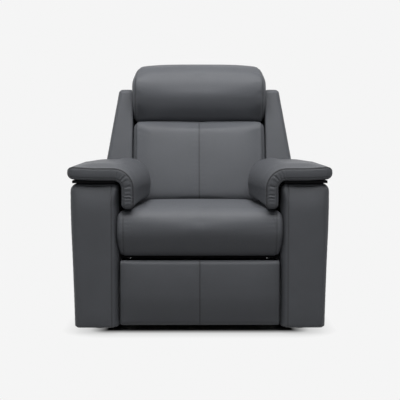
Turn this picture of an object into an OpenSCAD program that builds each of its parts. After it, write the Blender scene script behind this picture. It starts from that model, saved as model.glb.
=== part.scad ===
// Cinema recliner seat with an electric leg rest and an electric back.
// The front faces -Y, +X is the viewer's right and the chair stands on z = 0.
// A side plane below means (y, z). Link angles are measured in a side plane
// from straight forward (-Y), positive towards +Z.

/* [Arms] */
// Clear width between the inner faces of the arms
seat_gap = 622; // [600:1:700]
// Width of one arm at its top
arm_w = 185; // [170:1:220]
// How far the outer face draws in from the top to the foot
arm_taper = 14; // [0:1:25]
// Height of the arm's flat top
arm_top = 582; // [560:1:620]
// Front face of the arms, ahead of the chair's middle
arm_front = 448; // [430:1:470]
// Rear face of the arms, behind the chair's middle
arm_rear = 430; // [418:1:445]
// Height of the arm's top at its rear end
arm_rear_top = 470; // [430:1:475]
// Place behind the chair's middle where the arm's top starts to slope
arm_slope_start = 185; // [170:1:200]
// Radius of the arm's soft edges
arm_round = 25; // [15:1:34]
// Thickness of the padded cover on an arm
cover_t = 12; // [8:1:16]
// Thickness of the boards in an arm
board_t = 18; // [12:1:22]
// Height of the blocks that take the glides
glide_block_h = 40; // [30:1:60]
// Length of the blocks that take the glides
glide_block_l = 200; // [185:1:210]

/* [Glides] */
// Height of the glides under the arms
glide_h = 25; // [18:1:40]
// Radius of a glide
glide_r = 24; // [15:1:32]
// Radius of a glide's screw
glide_screw_r = 4; // [3:0.5:5]
// Length of a glide's screw inside its block
glide_screw_l = 30; // [20:1:38]
// Distance from the arm's end to a glide's axis
glide_inset = 165; // [150:1:180]

/* [Arm pads] */
// Thickness of the dark board under a pad
pad_board_t = 10; // [6:1:14]
// Distance of that board from the arm's inner face
pad_board_in = 12; // [8:1:24]
// Distance of that board from the arm's outer face
pad_board_out = 8; // [4:1:20]
// Front of a pad, ahead of the chair's middle
pad_front = 456; // [440:1:459]
// Rear end of a pad, behind the chair's middle
pad_rear = 180; // [150:1:182]
// Rear end of the pad's inner wrap, behind the chair's middle
wrap_rear = 70; // [50:1:76]
// How far a pad overhangs the arm's outer face
pad_over = 11; // [4:1:20]
// Thickness of a pad from its board to its seam
pad_band = 48; // [40:1:60]
// Rise of a pad's crown above its seam
pad_crown = 22; // [8:1:30]
// Thickness of the inner wrap at the front
wrap_t = 50; // [40:1:60]
// How much thicker the wrap is near the back
wrap_bulge = 32; // [0:1:40]
// Height of the wrap's lower end at the front
wrap_low = 480; // [477:1:500]
// Rise of the wrap's lower end towards the back
wrap_rise = 20; // [18:1:30]
// Gap between the wrap and the arm's inner face
wrap_gap = 3; // [1:0.5:6]

/* [Seat] */
// Front face of the seat cushion, ahead of the chair's middle
seat_front = 460; // [450:1:470]
// Rear face of the seat cushion, behind the chair's middle
seat_rear = 85; // [70:1:90]
// Height of the cushion's front lip above the floor
seat_lip = 299; // [296:1:310]
// Thickness of the lip, from front to back
seat_lip_t = 66; // [50:1:68]
// Height of the cushion's top at its front
seat_top = 462; // [450:1:465]
// Rise of the cushion's top towards the back
seat_rise = 14; // [5:1:18]
// Height of the cushion's crown above its seams
seat_crown = 9; // [4:1:11]
// Gap between the cushion and an arm
seat_side_gap = 3; // [2:0.5:6]
// Radius of the cushion's front shoulder
seat_shoulder = 46; // [30:1:60]

/* [Seat frame] */
// Width of a seat rail, seen from above
rail_w = 45; // [30:1:55]
// Height of a seat rail
rail_h = 38; // [30:1:38]
// Underside of the seat rails above the floor
rail_z = 290; // [289:1:292]
// Front face of the front rail, ahead of the chair's middle
rail_front = 390; // [380:1:391]
// Number of zigzag springs
spring_count = 5; // [3:1:6]
// Thickness of the spring wire
spring_wire = 3.5; // [3:0.1:4]
// Half of the width that a spring wanders over
spring_wander = 20; // [12:1:28]
// Length of one bend of a spring
spring_pitch = 30; // [24:1:40]

/* [Mechanism] */
// Thickness of a side plate
plate_t = 6; // [4:0.5:7]
// Thickness of a link
link_t = 4; // [3:0.5:5]
// Free space between two layers of links
layer_gap = 2; // [1.5:0.5:2.5]
// Radius of a link's ends
link_r = 11; // [9:1:11]
// Radius of the link pins
pin_r = 5; // [4:0.5:6]
// Radial clearance of a pin that turns
run_gap = 0.06; // [0.03:0.01:0.1]
// Front pivot of the drive link, ahead of the chair's middle
drive_y = 314; // [312:1:316]
// Front pivot of the drive link above the floor
drive_z = 240; // [238:1:242]
// Length of the drive and rear links
drive_len = 190; // [188:1:191]
// Length of the carrier and steady links
carrier_len = 191; // [189:1:193]
// Distance between the drive and rear links
rear_offset = 42.5; // [40:0.5:45]
// Distance between the carrier and steady links
steady_offset = 46; // [43:0.5:48]
// Angle of the drive link when the leg rest is folded
drive_rest = -121.8; // [-123:0.1:-120]
// Angle of the carrier link, the same in every pose
carrier_angle = 49; // [48:0.1:50]
// Angle through which the leg rest opens
fold_angle = 92; // [88:1:92]
// Radius of the cross tubes
tube_r = 12.5; // [10:0.5:13]
// Wall of the cross tubes
tube_wall = 2; // [1.5:0.5:3]
// Radius of the tube that joins the drive links
drive_tube_r = 9; // [8:0.5:10]
// Distance of that tube from the drive pivot
drive_tube_arm = 34; // [32:1:36]

/* [Leg rest] */
// Front face of the leg rest's pad, ahead of the chair's middle
leg_front = 441; // [438:1:445]
// Thickness of the leg rest's board and pad together
leg_t = 48; // [40:1:50]
// Thickness of the leg rest's board
leg_board_t = 15; // [12:1:18]
// Lower edge of the leg rest
leg_low = 32; // [30:1:40]
// Upper edge of the leg rest
leg_high = 283; // [270:1:284]
// Gap between the leg rest and an arm
leg_side_gap = 5; // [4:0.5:12]

/* [Back] */
// Back pivot, behind the chair's middle
back_y = 190; // [185:1:195]
// Back pivot above the floor
back_z = 370; // [366:1:374]
// Lean of the upright back
back_lean = 13.5; // [10:0.5:16]
// Angle through which the back reclines
recline_angle = 32; // [25:1:32]
// Radius of the back pivot pins
back_pin_r = 8; // [6:0.5:10]
// Distance of the back cushion's end from the side of the back's frame
back_side_gap = 12; // [8:1:28]
// Front of the back cushion, ahead of the pivot's plane
back_face = 110; // [100:1:114]
// Lower edge of the back cushion above the pivot, along the back
back_low = 62; // [58:1:70]
// Upper edge of the back cushion, along the back
back_high = 432; // [420:1:434]
// Height of the back cushion's crown
back_crown = 9; // [4:1:9]
// Distance of the pillow's end from the side of the back's frame
pillow_side_gap = 0; // [0:1:18]
// Front of the pillow, ahead of the pivot's plane
pillow_face = 146; // [130:1:155]
// Lower edge of the pillow, along the back
pillow_low = 436; // [435:1:440]
// Upper edge of the pillow, along the back
pillow_high = 706; // [680:1:715]
// Front face of the back's plywood board, behind the pivot's plane
back_board_y = 10; // [9:1:12]
// Thickness of the back's plywood board
back_board_t = 10; // [8:1:12]
// Depth of the back's posts and rails
post_d = 68; // [60:1:70]
// Width of the back's posts and rails
post_w = 45; // [35:1:55]
// Upper end of the back's frame, along the back
post_high = 628; // [610:1:632]
// Thickness of the padded cover behind the back
back_cover_t = 43.8; // [30:0.1:46]
// Lower end of the padded cover behind the back
back_cover_low = -30; // [-32:1:-10]

/* [Wings] */
// Front face of a wing, ahead of the pivot's plane
wing_face = 54; // [45:1:60]
// Height of a wing's lower edge above the floor
wing_low = 600; // [598:1:620]
// Height of a wing's upper edge above the floor
wing_high = 960; // [930:1:980]
// Width of a wing at its lower end
wing_w_low = 112; // [95:1:120]
// Width of a wing at its upper end
wing_w_high = 59; // [50:1:75]

/* [Drives] */
// Height of the leg rest spindle below the drive pivot
leg_spindle_drop = 45; // [44:1:47]
// Height of the back spindle below the back pivot
back_spindle_drop = 100; // [98:1:104]
// Radius of the spindles
spindle_r = 6; // [5:0.5:7]
// Radius of the pins on the spindle nuts
nut_pin_r = 5; // [4:0.5:5.5]
// Half of a nut's width
nut_half_w = 13; // [11:1:14]
// Half of a nut's height
nut_half_h = 12; // [10:1:13]
// Half of a nut's length
nut_half_l = 14; // [12:1:15]
// Thickness of a crank plate
crank_t = 5; // [4:0.5:6]
// Width of a gearbox
gear_w = 56; // [50:1:64]
// Length of a gearbox
gear_l = 70; // [60:1:70]
// Height of a gearbox
gear_h = 46; // [44:1:46]
// Radius of a motor
motor_r = 22; // [18:1:24]
// Length of a motor
motor_l = 80; // [60:1:100]

/* [Rear] */
// Front face of the rear rail, behind the chair's middle
rear_rail_y = 385; // [380:1:390]
// Thickness of the rear rail
rear_rail_t = 20; // [16:1:24]
// Lower edge of the rear rail
rear_rail_z = 60; // [50:1:70]
// Height of the rear rail
rear_rail_h = 100; // [80:1:110]
// Thickness of the rear panel
rear_panel_t = 12; // [8:1:12]
// Lower edge of the rear panel
rear_panel_z = 40; // [35:1:50]
// Upper edge of the rear panel
rear_panel_top = 330; // [300:1:335]
// Width of the power box
power_w = 120; // [90:1:160]
// Depth of the power box
power_d = 40; // [30:1:45]
// Height of the power box
power_h = 60; // [40:1:80]
// Radius of the power inlet's body
inlet_r = 9; // [7:0.5:12]
// Distance of the power inlet from the middle
inlet_x = 150; // [100:1:200]
// Height of the power inlet
inlet_z = 200; // [185:1:230]

/* [Controls] */
// Distance of the control bezel behind the arm's front
bezel_back = 200; // [150:1:260]
// Height of the control bezel's middle
bezel_z = 480; // [460:1:490]
// Length of the control bezel's flange
bezel_l = 92; // [84:1:110]
// Height of the control bezel's flange
bezel_h = 64; // [58:1:70]
// Radius of a button
button_r = 8; // [6:0.5:9]
// Distance between two buttons
button_pitch = 26; // [24:1:30]
// How far a button stands out of the bezel
button_proud = 2.2; // [1.8:0.1:3]
// Travel of a button
button_travel = 1.5; // [1:0.1:1.6]

/* [Hidden] */

$fn = 48;
// How far a cut runs past the faces that it opens
cut = 1;
// Free space around a piece that is set into another
fit = 0.3;
// Number of straight steps in a rounded corner
corner_steps = 4;

// Faces of the arms
arm_in = seat_gap / 2;
arm_out = arm_in + arm_w;
// Width and heights of the boards under the arm pads
pad_board_x0 = arm_in + pad_board_in;
pad_board_x1 = arm_out - pad_board_out;
pad_board_y0 = -arm_front + pad_board_out;
pad_board_y1 = arm_slope_start - pad_board_in;
pad_z = arm_top + pad_board_t;

// Layers of the mechanism, from the side plates towards the middle
plate_x = arm_in - plate_t;
rear_link_x = plate_x - layer_gap - link_t;
drive_link_x = rear_link_x - layer_gap - link_t;
carrier_x = drive_link_x - layer_gap - link_t;
bracket_x = carrier_x - layer_gap - link_t;

// Link pivots at rest, in a side plane
function along(angle, length) = [-length * cos(angle), length * sin(angle)];
drive_pivot = [-drive_y, drive_z];
// The rear pivots lie back and down from the drive pivots
rear_angle = -138.3;
// The steady pivots lie straight above the carrier's at rest
steady_angle = 93;
rear_pivot = drive_pivot + along(rear_angle, rear_offset);
knee = drive_pivot + along(drive_rest, drive_len);
rear_knee = knee + along(rear_angle, rear_offset);
steady_knee = knee + along(steady_angle, steady_offset);
foot = knee + along(carrier_angle, carrier_len);
steady_foot = foot + along(steady_angle, steady_offset);
// Axis of the tube that joins the drive links
drive_tube_angle = 125;
drive_tube_at = drive_pivot + along(drive_tube_angle, drive_tube_arm);

// The leg rest's nut runs evenly to both sides of the drive pivot
leg_crank_rest = -90 - fold_angle / 2;
leg_crank_near = leg_spindle_drop;
leg_crank_far = leg_spindle_drop / cos(fold_angle / 2);
leg_spindle_z = drive_z - leg_spindle_drop;
leg_nut_at = [-drive_y + leg_spindle_drop * tan(fold_angle / 2), leg_spindle_z];
// The nut runs evenly while the crank turns, so its pin needs this much play
leg_slot_play = 4.5;
leg_slot_r = nut_pin_r + leg_slot_play;
// The back's nut runs the same way under the back pivot
back_pivot = [back_y, back_z];
back_crank_near = back_spindle_drop;
back_crank_far = back_spindle_drop / cos(recline_angle / 2);
back_spindle_z = back_z - back_spindle_drop;
back_nut_at = [back_y + back_spindle_drop * tan(recline_angle / 2), back_spindle_z];
back_slot_play = 0.6;
back_slot_r = nut_pin_r + back_slot_play;
crank_x = nut_half_w + layer_gap;
crank_rim = 7;

// Cross tubes, in a side plane; each drive hangs on one of them
leg_tube_at = [-150, leg_spindle_z];
back_tube_at = [-60, back_spindle_z];
// Distance from a cross tube to the near face of its gearbox
eye_reach = 24;
eye_wall = 8;

// Seat rails
rail_x1 = plate_x;
rail_x0 = rail_x1 - rail_w;
rail_rear = seat_rear - 5 * fit;
rail_top = rail_z + rail_h;
// Clips that hold the spring ends down on the rails
clip_t = 1.5;
clip_l = 16;
// The cushion lies on the clips
seat_under = rail_top + spring_wire + clip_t + fit;
// Bolts through the side plates, as places in a side plane
bolt_r = 4;
bolt_head_r = 7;
bolt_head_h = 4;
arm_bolts = [[-240, 272], [-95, 235], [30, 235], [140, 255]];
seat_bolts = [[-300, 309], [-110, 309], [15, 309]];

// Control bezel on the outer side of the arm at the sitter's right
bezel_y = -arm_front + bezel_back;
bezel_flange_t = 3;
bezel_face_t = 7;
bezel_depth = 36;
bezel_rim = 4;
bezel_wall = 2;
// Its upper edge lies on the arm's face, which leans in below
bezel_x = arm_out - arm_taper * (arm_top - bezel_z - bezel_h / 2) / (arm_top - glide_h) + fit / 2;
button_collar_r = 10;
button_collar_t = 4;
button_stem_r = 3;
button_stem_l = 5;

// A corner of an outline replaced by short straight steps of an arc
function unit(v) = v / norm(v);
function turned(a) = a > 180 ? a - 360 : a < -180 ? a + 360 : a;
function corner_arc(a, b, c, r) =
    let (
        u = unit(a - b),
        v = unit(c - b),
        half = acos(max(-1, min(1, u * v))) / 2,
        reach = r / tan(half),
        mid = b + unit(u + v) * r / sin(half),
        start = b + u * reach - mid,
        end = b + v * reach - mid,
        a0 = atan2(start.y, start.x),
        da = turned(atan2(end.y, end.x) - a0)
    )
    [for (i = [0:corner_steps])
        mid + r * [cos(a0 + da * i / corner_steps), sin(a0 + da * i / corner_steps)]];
// Outline through corners given as [place, radius]; radius 0 keeps the corner
function rounded(corners) =
    let (n = len(corners))
    [for (i = [0:n - 1])
        each corners[i][1] == 0
            ? [corners[i][0]]
            : corner_arc(corners[(i + n - 1) % n][0], corners[i][0],
                corners[(i + 1) % n][0], corners[i][1])];
// Value drawn in towards a hub, so that the outermost one moves by d, or by
// less where the form is thin
most_share = 0.6;
function drawn(v, low, hub, high, d) =
    let (reach = v < hub ? hub - low : high - hub)
    v == hub ? v : hub + (v - hub) * (1 - min(most_share, d / reach));
// Outline drawn in by d on every side towards a hub, which stays in place
function drawn_in(ring, hub, d) =
    let (xs = [for (p = ring) p.x], ys = [for (p = ring) p.y])
    [for (p = ring) [drawn(p.x, min(xs), hub.x, max(xs), d), drawn(p.y, min(ys), hub.y, max(ys), d)]];
// Inset at a distance w inside an end that is rounded with radius r
function end_inset(w, r) = w >= r ? 0 : r - sqrt(r * r - (r - w) * (r - w));

// Closed solid through equal rings, with a fan of triangles over each end
module loft(rings, first_hub, last_hub, flip) {
    n = len(rings[0]);
    m = len(rings);
    points = concat([for (ring = rings) each ring], [first_hub, last_hub]);
    sides = [for (i = [0:m - 2], j = [0:n - 1])
        let (a = i * n + j, b = i * n + (j + 1) % n, c = a + n, d = b + n)
        each [[a, b, d], [a, d, c]]];
    ends = [for (j = [0:n - 1])
        let (k = (j + 1) % n)
        each [[n * m, k, j], [n * m + 1, (m - 1) * n + j, (m - 1) * n + k]]];
    faces = concat(sides, ends);
    polyhedron(points, flip ? [for (f = faces) [f[0], f[2], f[1]]] : faces);
}
// Average of the points of a ring
function middle(ring) = [for (k = [0:len(ring[0]) - 1])
    [for (p = ring) p[k]] * [for (p = ring) 1] / len(ring)];

// Flat outline in a side plane, made t thick from x towards +X
module side_slab(x, t) {
    translate([x, 0, 0]) rotate([90, 0, 90]) linear_extrude(t) children();
}
// The same on both sides of the chair
module both_slabs(x, t) {
    side_slab(x, t) children();
    side_slab(-x - t, t) children();
}
// Bar with round ends between two places of a side plane
module bar(p, q, r) {
    n = r * unit([p.y - q.y, q.x - p.x]);
    translate(p) circle(r);
    translate(q) circle(r);
    polygon([p + n, q + n, q - n, p - n]);
}
// Round rod along X from x0 to x1 at a place of a side plane
module rod(at, r, x0, x1) {
    translate([x0, at.x, at.y]) rotate([0, 90, 0]) cylinder(h = x1 - x0, r = r);
}
// Rods at like places on both sides of the chair
module both_rods(at, r, x0, x1) {
    rod(at, r, x0, x1);
    rod(at, r, -x1, -x0);
}
// Box given by its low and high corners
module block(low, high) {
    translate(low) cube(high - low);
}
// Piece of the left side, as the mirror image of the right one
module left() {
    mirror([1, 0, 0]) children();
}
// Frame of the back: its origin is the back pivot and its +Z runs up the back
module back_place() {
    translate([0, back_y, back_z]) rotate([-back_lean, 0, 0]) children();
}

// One arm's solid, drawn in on every side by an inset and open below by drop
module arm_block(inset, drop) {
    low = glide_h - drop;
    soft = arm_round - inset > board_t / 2 ? arm_round - inset : board_t / 2;
    foot_out = arm_out - arm_taper - inset;
    intersection() {
        translate([0, arm_rear, 0]) rotate([90, 0, 0]) linear_extrude(arm_front + arm_rear)
            polygon(rounded([
                [[arm_in + inset, low], 0], [[foot_out, low], drop > 0 ? 0 : soft / 2],
                [[arm_out - inset, arm_top - inset], soft],
                [[arm_in + inset, arm_top - inset], soft]]));
        side_slab(arm_in, arm_w) polygon([
            [-arm_front + inset, low], [arm_rear - inset, low],
            [arm_rear - inset, arm_rear_top - inset],
            [arm_slope_start - inset / 2, arm_top - inset],
            [-arm_front + inset, arm_top - inset]]);
        translate([0, 0, low]) linear_extrude(arm_top) polygon(rounded([
            [[arm_in + inset, -arm_front + inset], soft],
            [[arm_out - inset, -arm_front + inset], soft / 2],
            [[arm_out - inset, arm_rear - inset], soft / 2],
            [[arm_in + inset, arm_rear - inset], soft / 2]]));
    }
}
// Holes for the bolts that hold a side plate to an arm
module arm_bolt_holes() {
    for (at = arm_bolts) rod(at, bolt_r + run_gap, arm_in - cut, arm_in + cover_t + fit + board_t + cut);
}
// Opening in the arm for the control bezel's body
module bezel_opening(play) {
    l = bezel_l / 2 - bezel_rim + play;
    h = bezel_h / 2 - bezel_rim + play;
    block([bezel_x - bezel_depth - play, bezel_y - l, bezel_z - h],
        [arm_out + cut, bezel_y + l, bezel_z + h]);
}
// Padded cover of the right arm, open below
module arm_cover(with_bezel) {
    color("#46474a") difference() {
        arm_block(0, 0);
        arm_block(cover_t, cut);
        arm_bolt_holes();
        if (with_bezel) bezel_opening(fit);
    }
}
// Boarded frame inside the right arm, with a block for each glide
module arm_frame(with_bezel) {
    inset = cover_t + fit;
    inner = inset + board_t;
    block_x0 = arm_in + inner - cut;
    block_x1 = arm_out - arm_taper - inner + cut;
    color("#b99668") difference() {
        union() {
            difference() {
                arm_block(inset, 0);
                arm_block(inner, cut);
            }
            for (y = [-arm_front + inner - cut, arm_rear - inner + cut - glide_block_l])
                block([block_x0, y, glide_h],
                    [block_x1, y + glide_block_l, glide_h + glide_block_h]);
        }
        arm_bolt_holes();
        glide_screw_holes();
        if (with_bezel) bezel_opening(fit);
    }
}
// Places of the glides under the right arm, seen from above
glide_x = (arm_in + arm_out - arm_taper) / 2;
glide_places = [[glide_x, -arm_front + glide_inset], [glide_x, arm_rear - glide_inset]];
module glide_screw_holes() {
    for (p = glide_places) translate([p.x, p.y, glide_h - cut])
        cylinder(h = glide_screw_l + 2 * cut, r = glide_screw_r);
}
// Round glides with a chamfered foot
module right_glides() {
    for (p = glide_places) translate([p.x, p.y, 0]) difference() {
        rotate_extrude() polygon([[0, 0], [glide_r - glide_screw_r, 0], [glide_r, glide_screw_r],
            [glide_r, glide_h], [0, glide_h]]);
        translate([0, 0, glide_screw_r]) cylinder(h = glide_h, r = glide_screw_r);
    }
}
module glides() {
    color("#1c1c1e") {
        right_glides();
        left() right_glides();
    }
}
module right_glide_screws() {
    for (p = glide_places) translate([p.x, p.y, glide_screw_r])
        cylinder(h = glide_h + glide_screw_l - glide_screw_r, r = glide_screw_r);
}
module glide_screws() {
    color("#9a9da0") {
        right_glide_screws();
        left() right_glide_screws();
    }
}

// Dark board between the right arm and its pad
module pad_board() {
    color("#17181a") block([pad_board_x0, pad_board_y0, arm_top],
        [pad_board_x1, pad_board_y1, pad_z]);
}

// Faces of a pad, and the run over which its ends round off
pad_out = arm_out + pad_over;
pad_floor = pad_z + fit;
pad_seam = pad_z + pad_band;
pad_top = pad_seam + pad_crown;
wrap_x1 = arm_in - wrap_gap;
wrap_stub = wrap_t / 4;
pad_end_r = 26;
// Share of the wrap left at depth y: it rounds off ahead of the back cushion
function wrap_left(y) =
    let (s = min(1, max(0, (y - wrap_rear + 2 * pad_end_r) / (2 * pad_end_r))))
    sqrt(1 - s * s);
// Section of the right pad, seen from the front and anticlockwise: a crowned
// slab over the arm with a wrap that hangs down inside the arm
function pad_ring(y) =
    let (
        k = wrap_left(y),
        w = min(1, (y + pad_front) / (wrap_rear + pad_front)),
        inner = wrap_x1 - wrap_stub - (wrap_t - wrap_stub + wrap_bulge * w * w) * k,
        low = pad_floor + (wrap_low + wrap_rise * w - pad_floor) * k,
        soft = (wrap_x1 - inner) / 4,
        waist = (pad_out - inner) / 4,
        wall = pad_seam - pad_crown / 2
    )
    [
        [pad_out - pad_over, pad_floor], [pad_out - pad_over / 4, pad_floor + pad_band / 4],
        [pad_out, pad_floor + pad_band * 5 / 8], [pad_out - pad_over / 2, pad_seam],
        [pad_out - waist / 2, pad_seam + pad_crown * 5 / 8],
        [pad_out - waist, pad_seam + pad_crown * 7 / 8],
        [(pad_out + inner) / 2, pad_top],
        [inner + waist, pad_top - pad_crown / 8], [inner + waist / 2, pad_seam + pad_crown / 2],
        [inner + soft / 2, wall], [inner, (wall * 3 + low) / 4],
        [inner, (wall + low) / 2], [inner + soft / 4, (wall + low * 3) / 4],
        [inner + soft, low + (wall - low) / 16], [(inner + wrap_x1) / 2, low],
        [wrap_x1 - soft / 2, low + soft / 2], [wrap_x1, low + soft],
        [wrap_x1, (low + soft + pad_floor) / 2], [wrap_x1, pad_floor],
        [(wrap_x1 + pad_out) / 2, pad_floor]
    ];
function raised(ring, y) = [for (p = ring) [p.x, y, p.y]];
// Shares of an end's rounding at which a soft form has a ring
end_shares = [0, 0.08, 0.25, 0.55, 1];
function from_low(low, r) = [for (s = end_shares) low + r * s];
function to_high(high, r) = [for (i = [len(end_shares) - 1:-1:0]) high - r * end_shares[i]];
function evenly(low, high, n) = [for (i = [1:n - 1]) low + (high - low) * i / n];
module arm_pad() {
    ys = concat(from_low(-pad_front, pad_end_r),
        evenly(pad_end_r - pad_front, wrap_rear - 2 * pad_end_r, 5),
        to_high(wrap_rear, 2 * pad_end_r), [(wrap_rear + pad_rear - pad_end_r) / 2],
        to_high(pad_rear, pad_end_r));
    rings = [for (y = ys)
        let (d = max(end_inset(y + pad_front, pad_end_r), end_inset(pad_rear - y, pad_end_r)))
        raised(drawn_in(pad_ring(y), [wrap_x1, pad_floor], d * pad_end_share), y)];
    hub = [wrap_x1 - wrap_stub / 2, pad_floor + pad_band / 2];
    color("#55575b") loft(rings, [hub.x, -pad_front, hub.y], [hub.x, pad_rear, hub.y], true);
}
// Share of a round end's inset that the pad's thin section can take
pad_end_share = 0.6;

// Seat cushion, swept across the chair from its section in a side plane
seat_half = arm_in - seat_side_gap;
seat_end_r = 30;
seat_corner = 18;
seat_ring = rounded([
    [[-seat_front, seat_lip], seat_corner],
    [[-seat_front + seat_lip_t, seat_lip], seat_corner / 3],
    [[-seat_front + seat_lip_t, seat_under], 0],
    [[seat_rear, seat_under], seat_corner],
    [[seat_rear, seat_top + seat_rise], seat_shoulder / 2],
    [[-seat_front + seat_shoulder * 3, seat_top], seat_shoulder],
    [[-seat_front, seat_top - seat_shoulder / 6], seat_shoulder]]);
// Crown of a soft top at a share of the way from its middle to its side
function crown_of(height, share) = height * (1 - share * share);
module seat_cushion() {
    xs = concat(from_low(-seat_half, seat_end_r),
        evenly(seat_end_r - seat_half, seat_half - seat_end_r, 8), to_high(seat_half, seat_end_r));
    mid_z = (seat_under + seat_top) / 2;
    rings = [for (x = xs)
        let (
            d = max(end_inset(x + seat_half, seat_end_r), end_inset(seat_half - x, seat_end_r)),
            lift = crown_of(seat_crown, x / seat_half)
        )
        [for (p = drawn_in(seat_ring, [-seat_front + seat_lip_t, seat_under], d * seat_end_share))
            [x, p.x, p.y + (p.y > mid_z ? lift : 0)]]];
    hub = [-seat_front + seat_lip_t / 2, mid_z];
    color("#595b5f") loft(rings, [-seat_half, hub.x, hub.y], [seat_half, hub.x, hub.y], false);
}
// Share of a round end's inset that the seat cushion's lip can take
seat_end_share = 0.7;

// Soft panel swept across the chair: a section in its own side plane that its
// ends draw in towards hub and close at tip, a crown on the face whose depth is
// under face_y, and a sewn channel at the middle
module soft_panel(ring, hub, tip, half, end_r, crown, face_y, channel, share) {
    groove = 3 * channel;
    n = 3;
    side = concat(from_low(-half, end_r), evenly(end_r - half, -groove, n), [-groove]);
    xs = concat(side, [0], [for (i = [len(side) - 1:-1:0]) -side[i]]);
    rings = [for (x = xs)
        let (
            d = max(end_inset(x + half, end_r), end_inset(half - x, end_r)),
            lift = crown_of(crown, x / half) - (x == 0 ? channel : 0)
        )
        [for (p = drawn_in(ring, hub, d * share)) [x, p.x - (p.x < face_y ? lift : 0), p.y]]];
    loft(rings, [-half, tip.x, tip.y], [half, tip.x, tip.y], false);
}
// Leg rest pad with a sewn seam down its middle
leg_half = arm_in - leg_side_gap;
leg_back = leg_front - leg_t;
leg_seat = leg_back + leg_board_t;
leg_corner = 16;
leg_crown = 3;
seam_depth = 3;
module leg_pad() {
    face = -leg_front + leg_crown;
    ring = rounded([
        [[face, leg_low], leg_corner], [[-leg_seat - fit, leg_low], leg_corner / 8],
        [[-leg_seat - fit, leg_high], leg_corner / 8], [[face, leg_high], leg_corner]]);
    color("#434447") soft_panel(ring, middle(ring), middle(ring), leg_half, leg_corner,
        leg_crown, -leg_front + leg_corner, seam_depth, 1);
}
module leg_board() {
    color("#8c7a5c") block([-leg_half + leg_corner, -leg_seat, leg_low + leg_corner],
        [leg_half - leg_corner, -leg_back, leg_high - leg_corner]);
}

// Faces of the back's layers in the frame of the back
post_y = back_board_y + back_board_t;
post_x1 = plate_x - layer_gap - crank_t;
post_low = -40;
cover_y = post_y + post_d;
back_half = post_x1 - back_side_gap;
pillow_half = post_x1 - pillow_side_gap;
back_corner = 34;
module back_cushion() {
    rear = back_board_y - fit;
    face = -back_face + back_crown;
    ring = rounded([
        [[face, back_low], back_corner], [[rear, back_low], back_corner / 4],
        [[rear, back_high], back_corner / 4], [[face, back_high], back_corner / 2]]);
    color("#595b5f") back_place() soft_panel(ring, middle(ring), middle(ring), back_half,
        back_corner, back_crown, -back_face / 2, seam_depth, 1);
}
// Head pillow: fuller than the cushion, and folded over the frame's top
pillow_end_r = 56;
pillow_crown = 6;
module head_pillow() {
    rear = back_board_y - fit;
    face = -pillow_face + pillow_crown;
    over_y = cover_y - back_corner;
    ring = rounded([
        [[face, pillow_low], pillow_end_r], [[rear, pillow_low], back_corner / 4],
        [[rear, post_high + fit], 0], [[over_y, post_high + fit], back_corner / 4],
        [[over_y, pillow_high - back_corner], back_corner], [[rear, pillow_high], back_corner],
        [[face, pillow_high - back_corner / 2], pillow_end_r]]);
    hub = [rear, post_high + fit];
    tip = [face / 2, (post_high + pillow_high) / 2];
    color("#616367") back_place() soft_panel(ring, hub, tip, pillow_half, pillow_end_r,
        pillow_crown, -pillow_face / 2, 0, pillow_end_share);
}
// Share of a round end's inset that the pillow's folded top can take
pillow_end_share = 0.6;

// Wing: level rings from its lower edge to its upper edge, in the chair's own
// frame, each with its front and rear faces on the lean of the back
wing_corner = 22;
wing_x0 = post_x1 + fit;
// Depth of the back's plane y' = face at height z
function leaned(face, z) = back_y + face / cos(back_lean) + (z - back_z) * tan(back_lean);
module wing() {
    zs = concat(from_low(wing_low, wing_corner),
        evenly(wing_low + wing_corner, wing_high - wing_corner, 4), to_high(wing_high, wing_corner));
    rear = cover_y + back_cover_t / 2;
    rings = [for (z = zs)
        let (
            s = (z - wing_low) / (wing_high - wing_low),
            out = wing_x0 + wing_w_low + (wing_w_high - wing_w_low) * s,
            d = max(end_inset(z - wing_low, wing_corner), end_inset(wing_high - z, wing_corner)),
            ring = rounded([
                [[wing_x0, leaned(-wing_face, z)], wing_corner / 2],
                [[out, leaned(-wing_face, z)], wing_corner],
                [[out, leaned(rear, z)], wing_corner],
                [[wing_x0, leaned(rear, z)], wing_corner / 4]])
        )
        [for (p = drawn_in(ring, middle(ring), d * wing_end_share)) [p.x, p.y, z]]];
    low = middle(rings[0]);
    high = middle(rings[len(rings) - 1]);
    color("#4b4c50") loft(rings, [low.x, low.y, wing_low], [high.x, high.y, wing_high], true);
}
// Share of a round end's inset that a wing takes
wing_end_share = 0.8;

// Padded cover behind the back
module back_cover() {
    color("#3f4043") back_place() translate([-post_x1, 0, 0]) side_slab(0, 2 * post_x1)
        polygon(rounded([
            [[cover_y, back_cover_low], 0],
            [[cover_y + back_cover_t, back_cover_low], back_cover_t / 2],
            [[cover_y + back_cover_t, post_high], back_cover_t / 2], [[cover_y, post_high], 0]]));
}
// Timber posts and rails of the back, and the plywood board on their front
module back_posts() {
    color("#b99668") back_place() difference() {
        for (x = [-post_x1, post_x1 - post_w]) block([x, post_y, post_low],
            [x + post_w, cover_y, post_high]);
        for (z = bracket_bolts) rod([bracket_bolt_y, z], bolt_r, -post_x1 - cut, post_x1 + cut);
    }
}
module back_rail_block(low) {
    back_place() block([-post_x1 + post_w, post_y, low],
        [post_x1 - post_w, cover_y, low + post_w]);
}
module back_top_rail() {
    color("#b99668") back_rail_block(post_high - post_w);
}
module back_bottom_rail() {
    color("#b99668") back_rail_block(post_low + post_w / 2);
}
module back_board() {
    color("#a88a60") back_place() block([-post_x1, back_board_y, back_low],
        [post_x1, post_y, post_high]);
}
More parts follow.
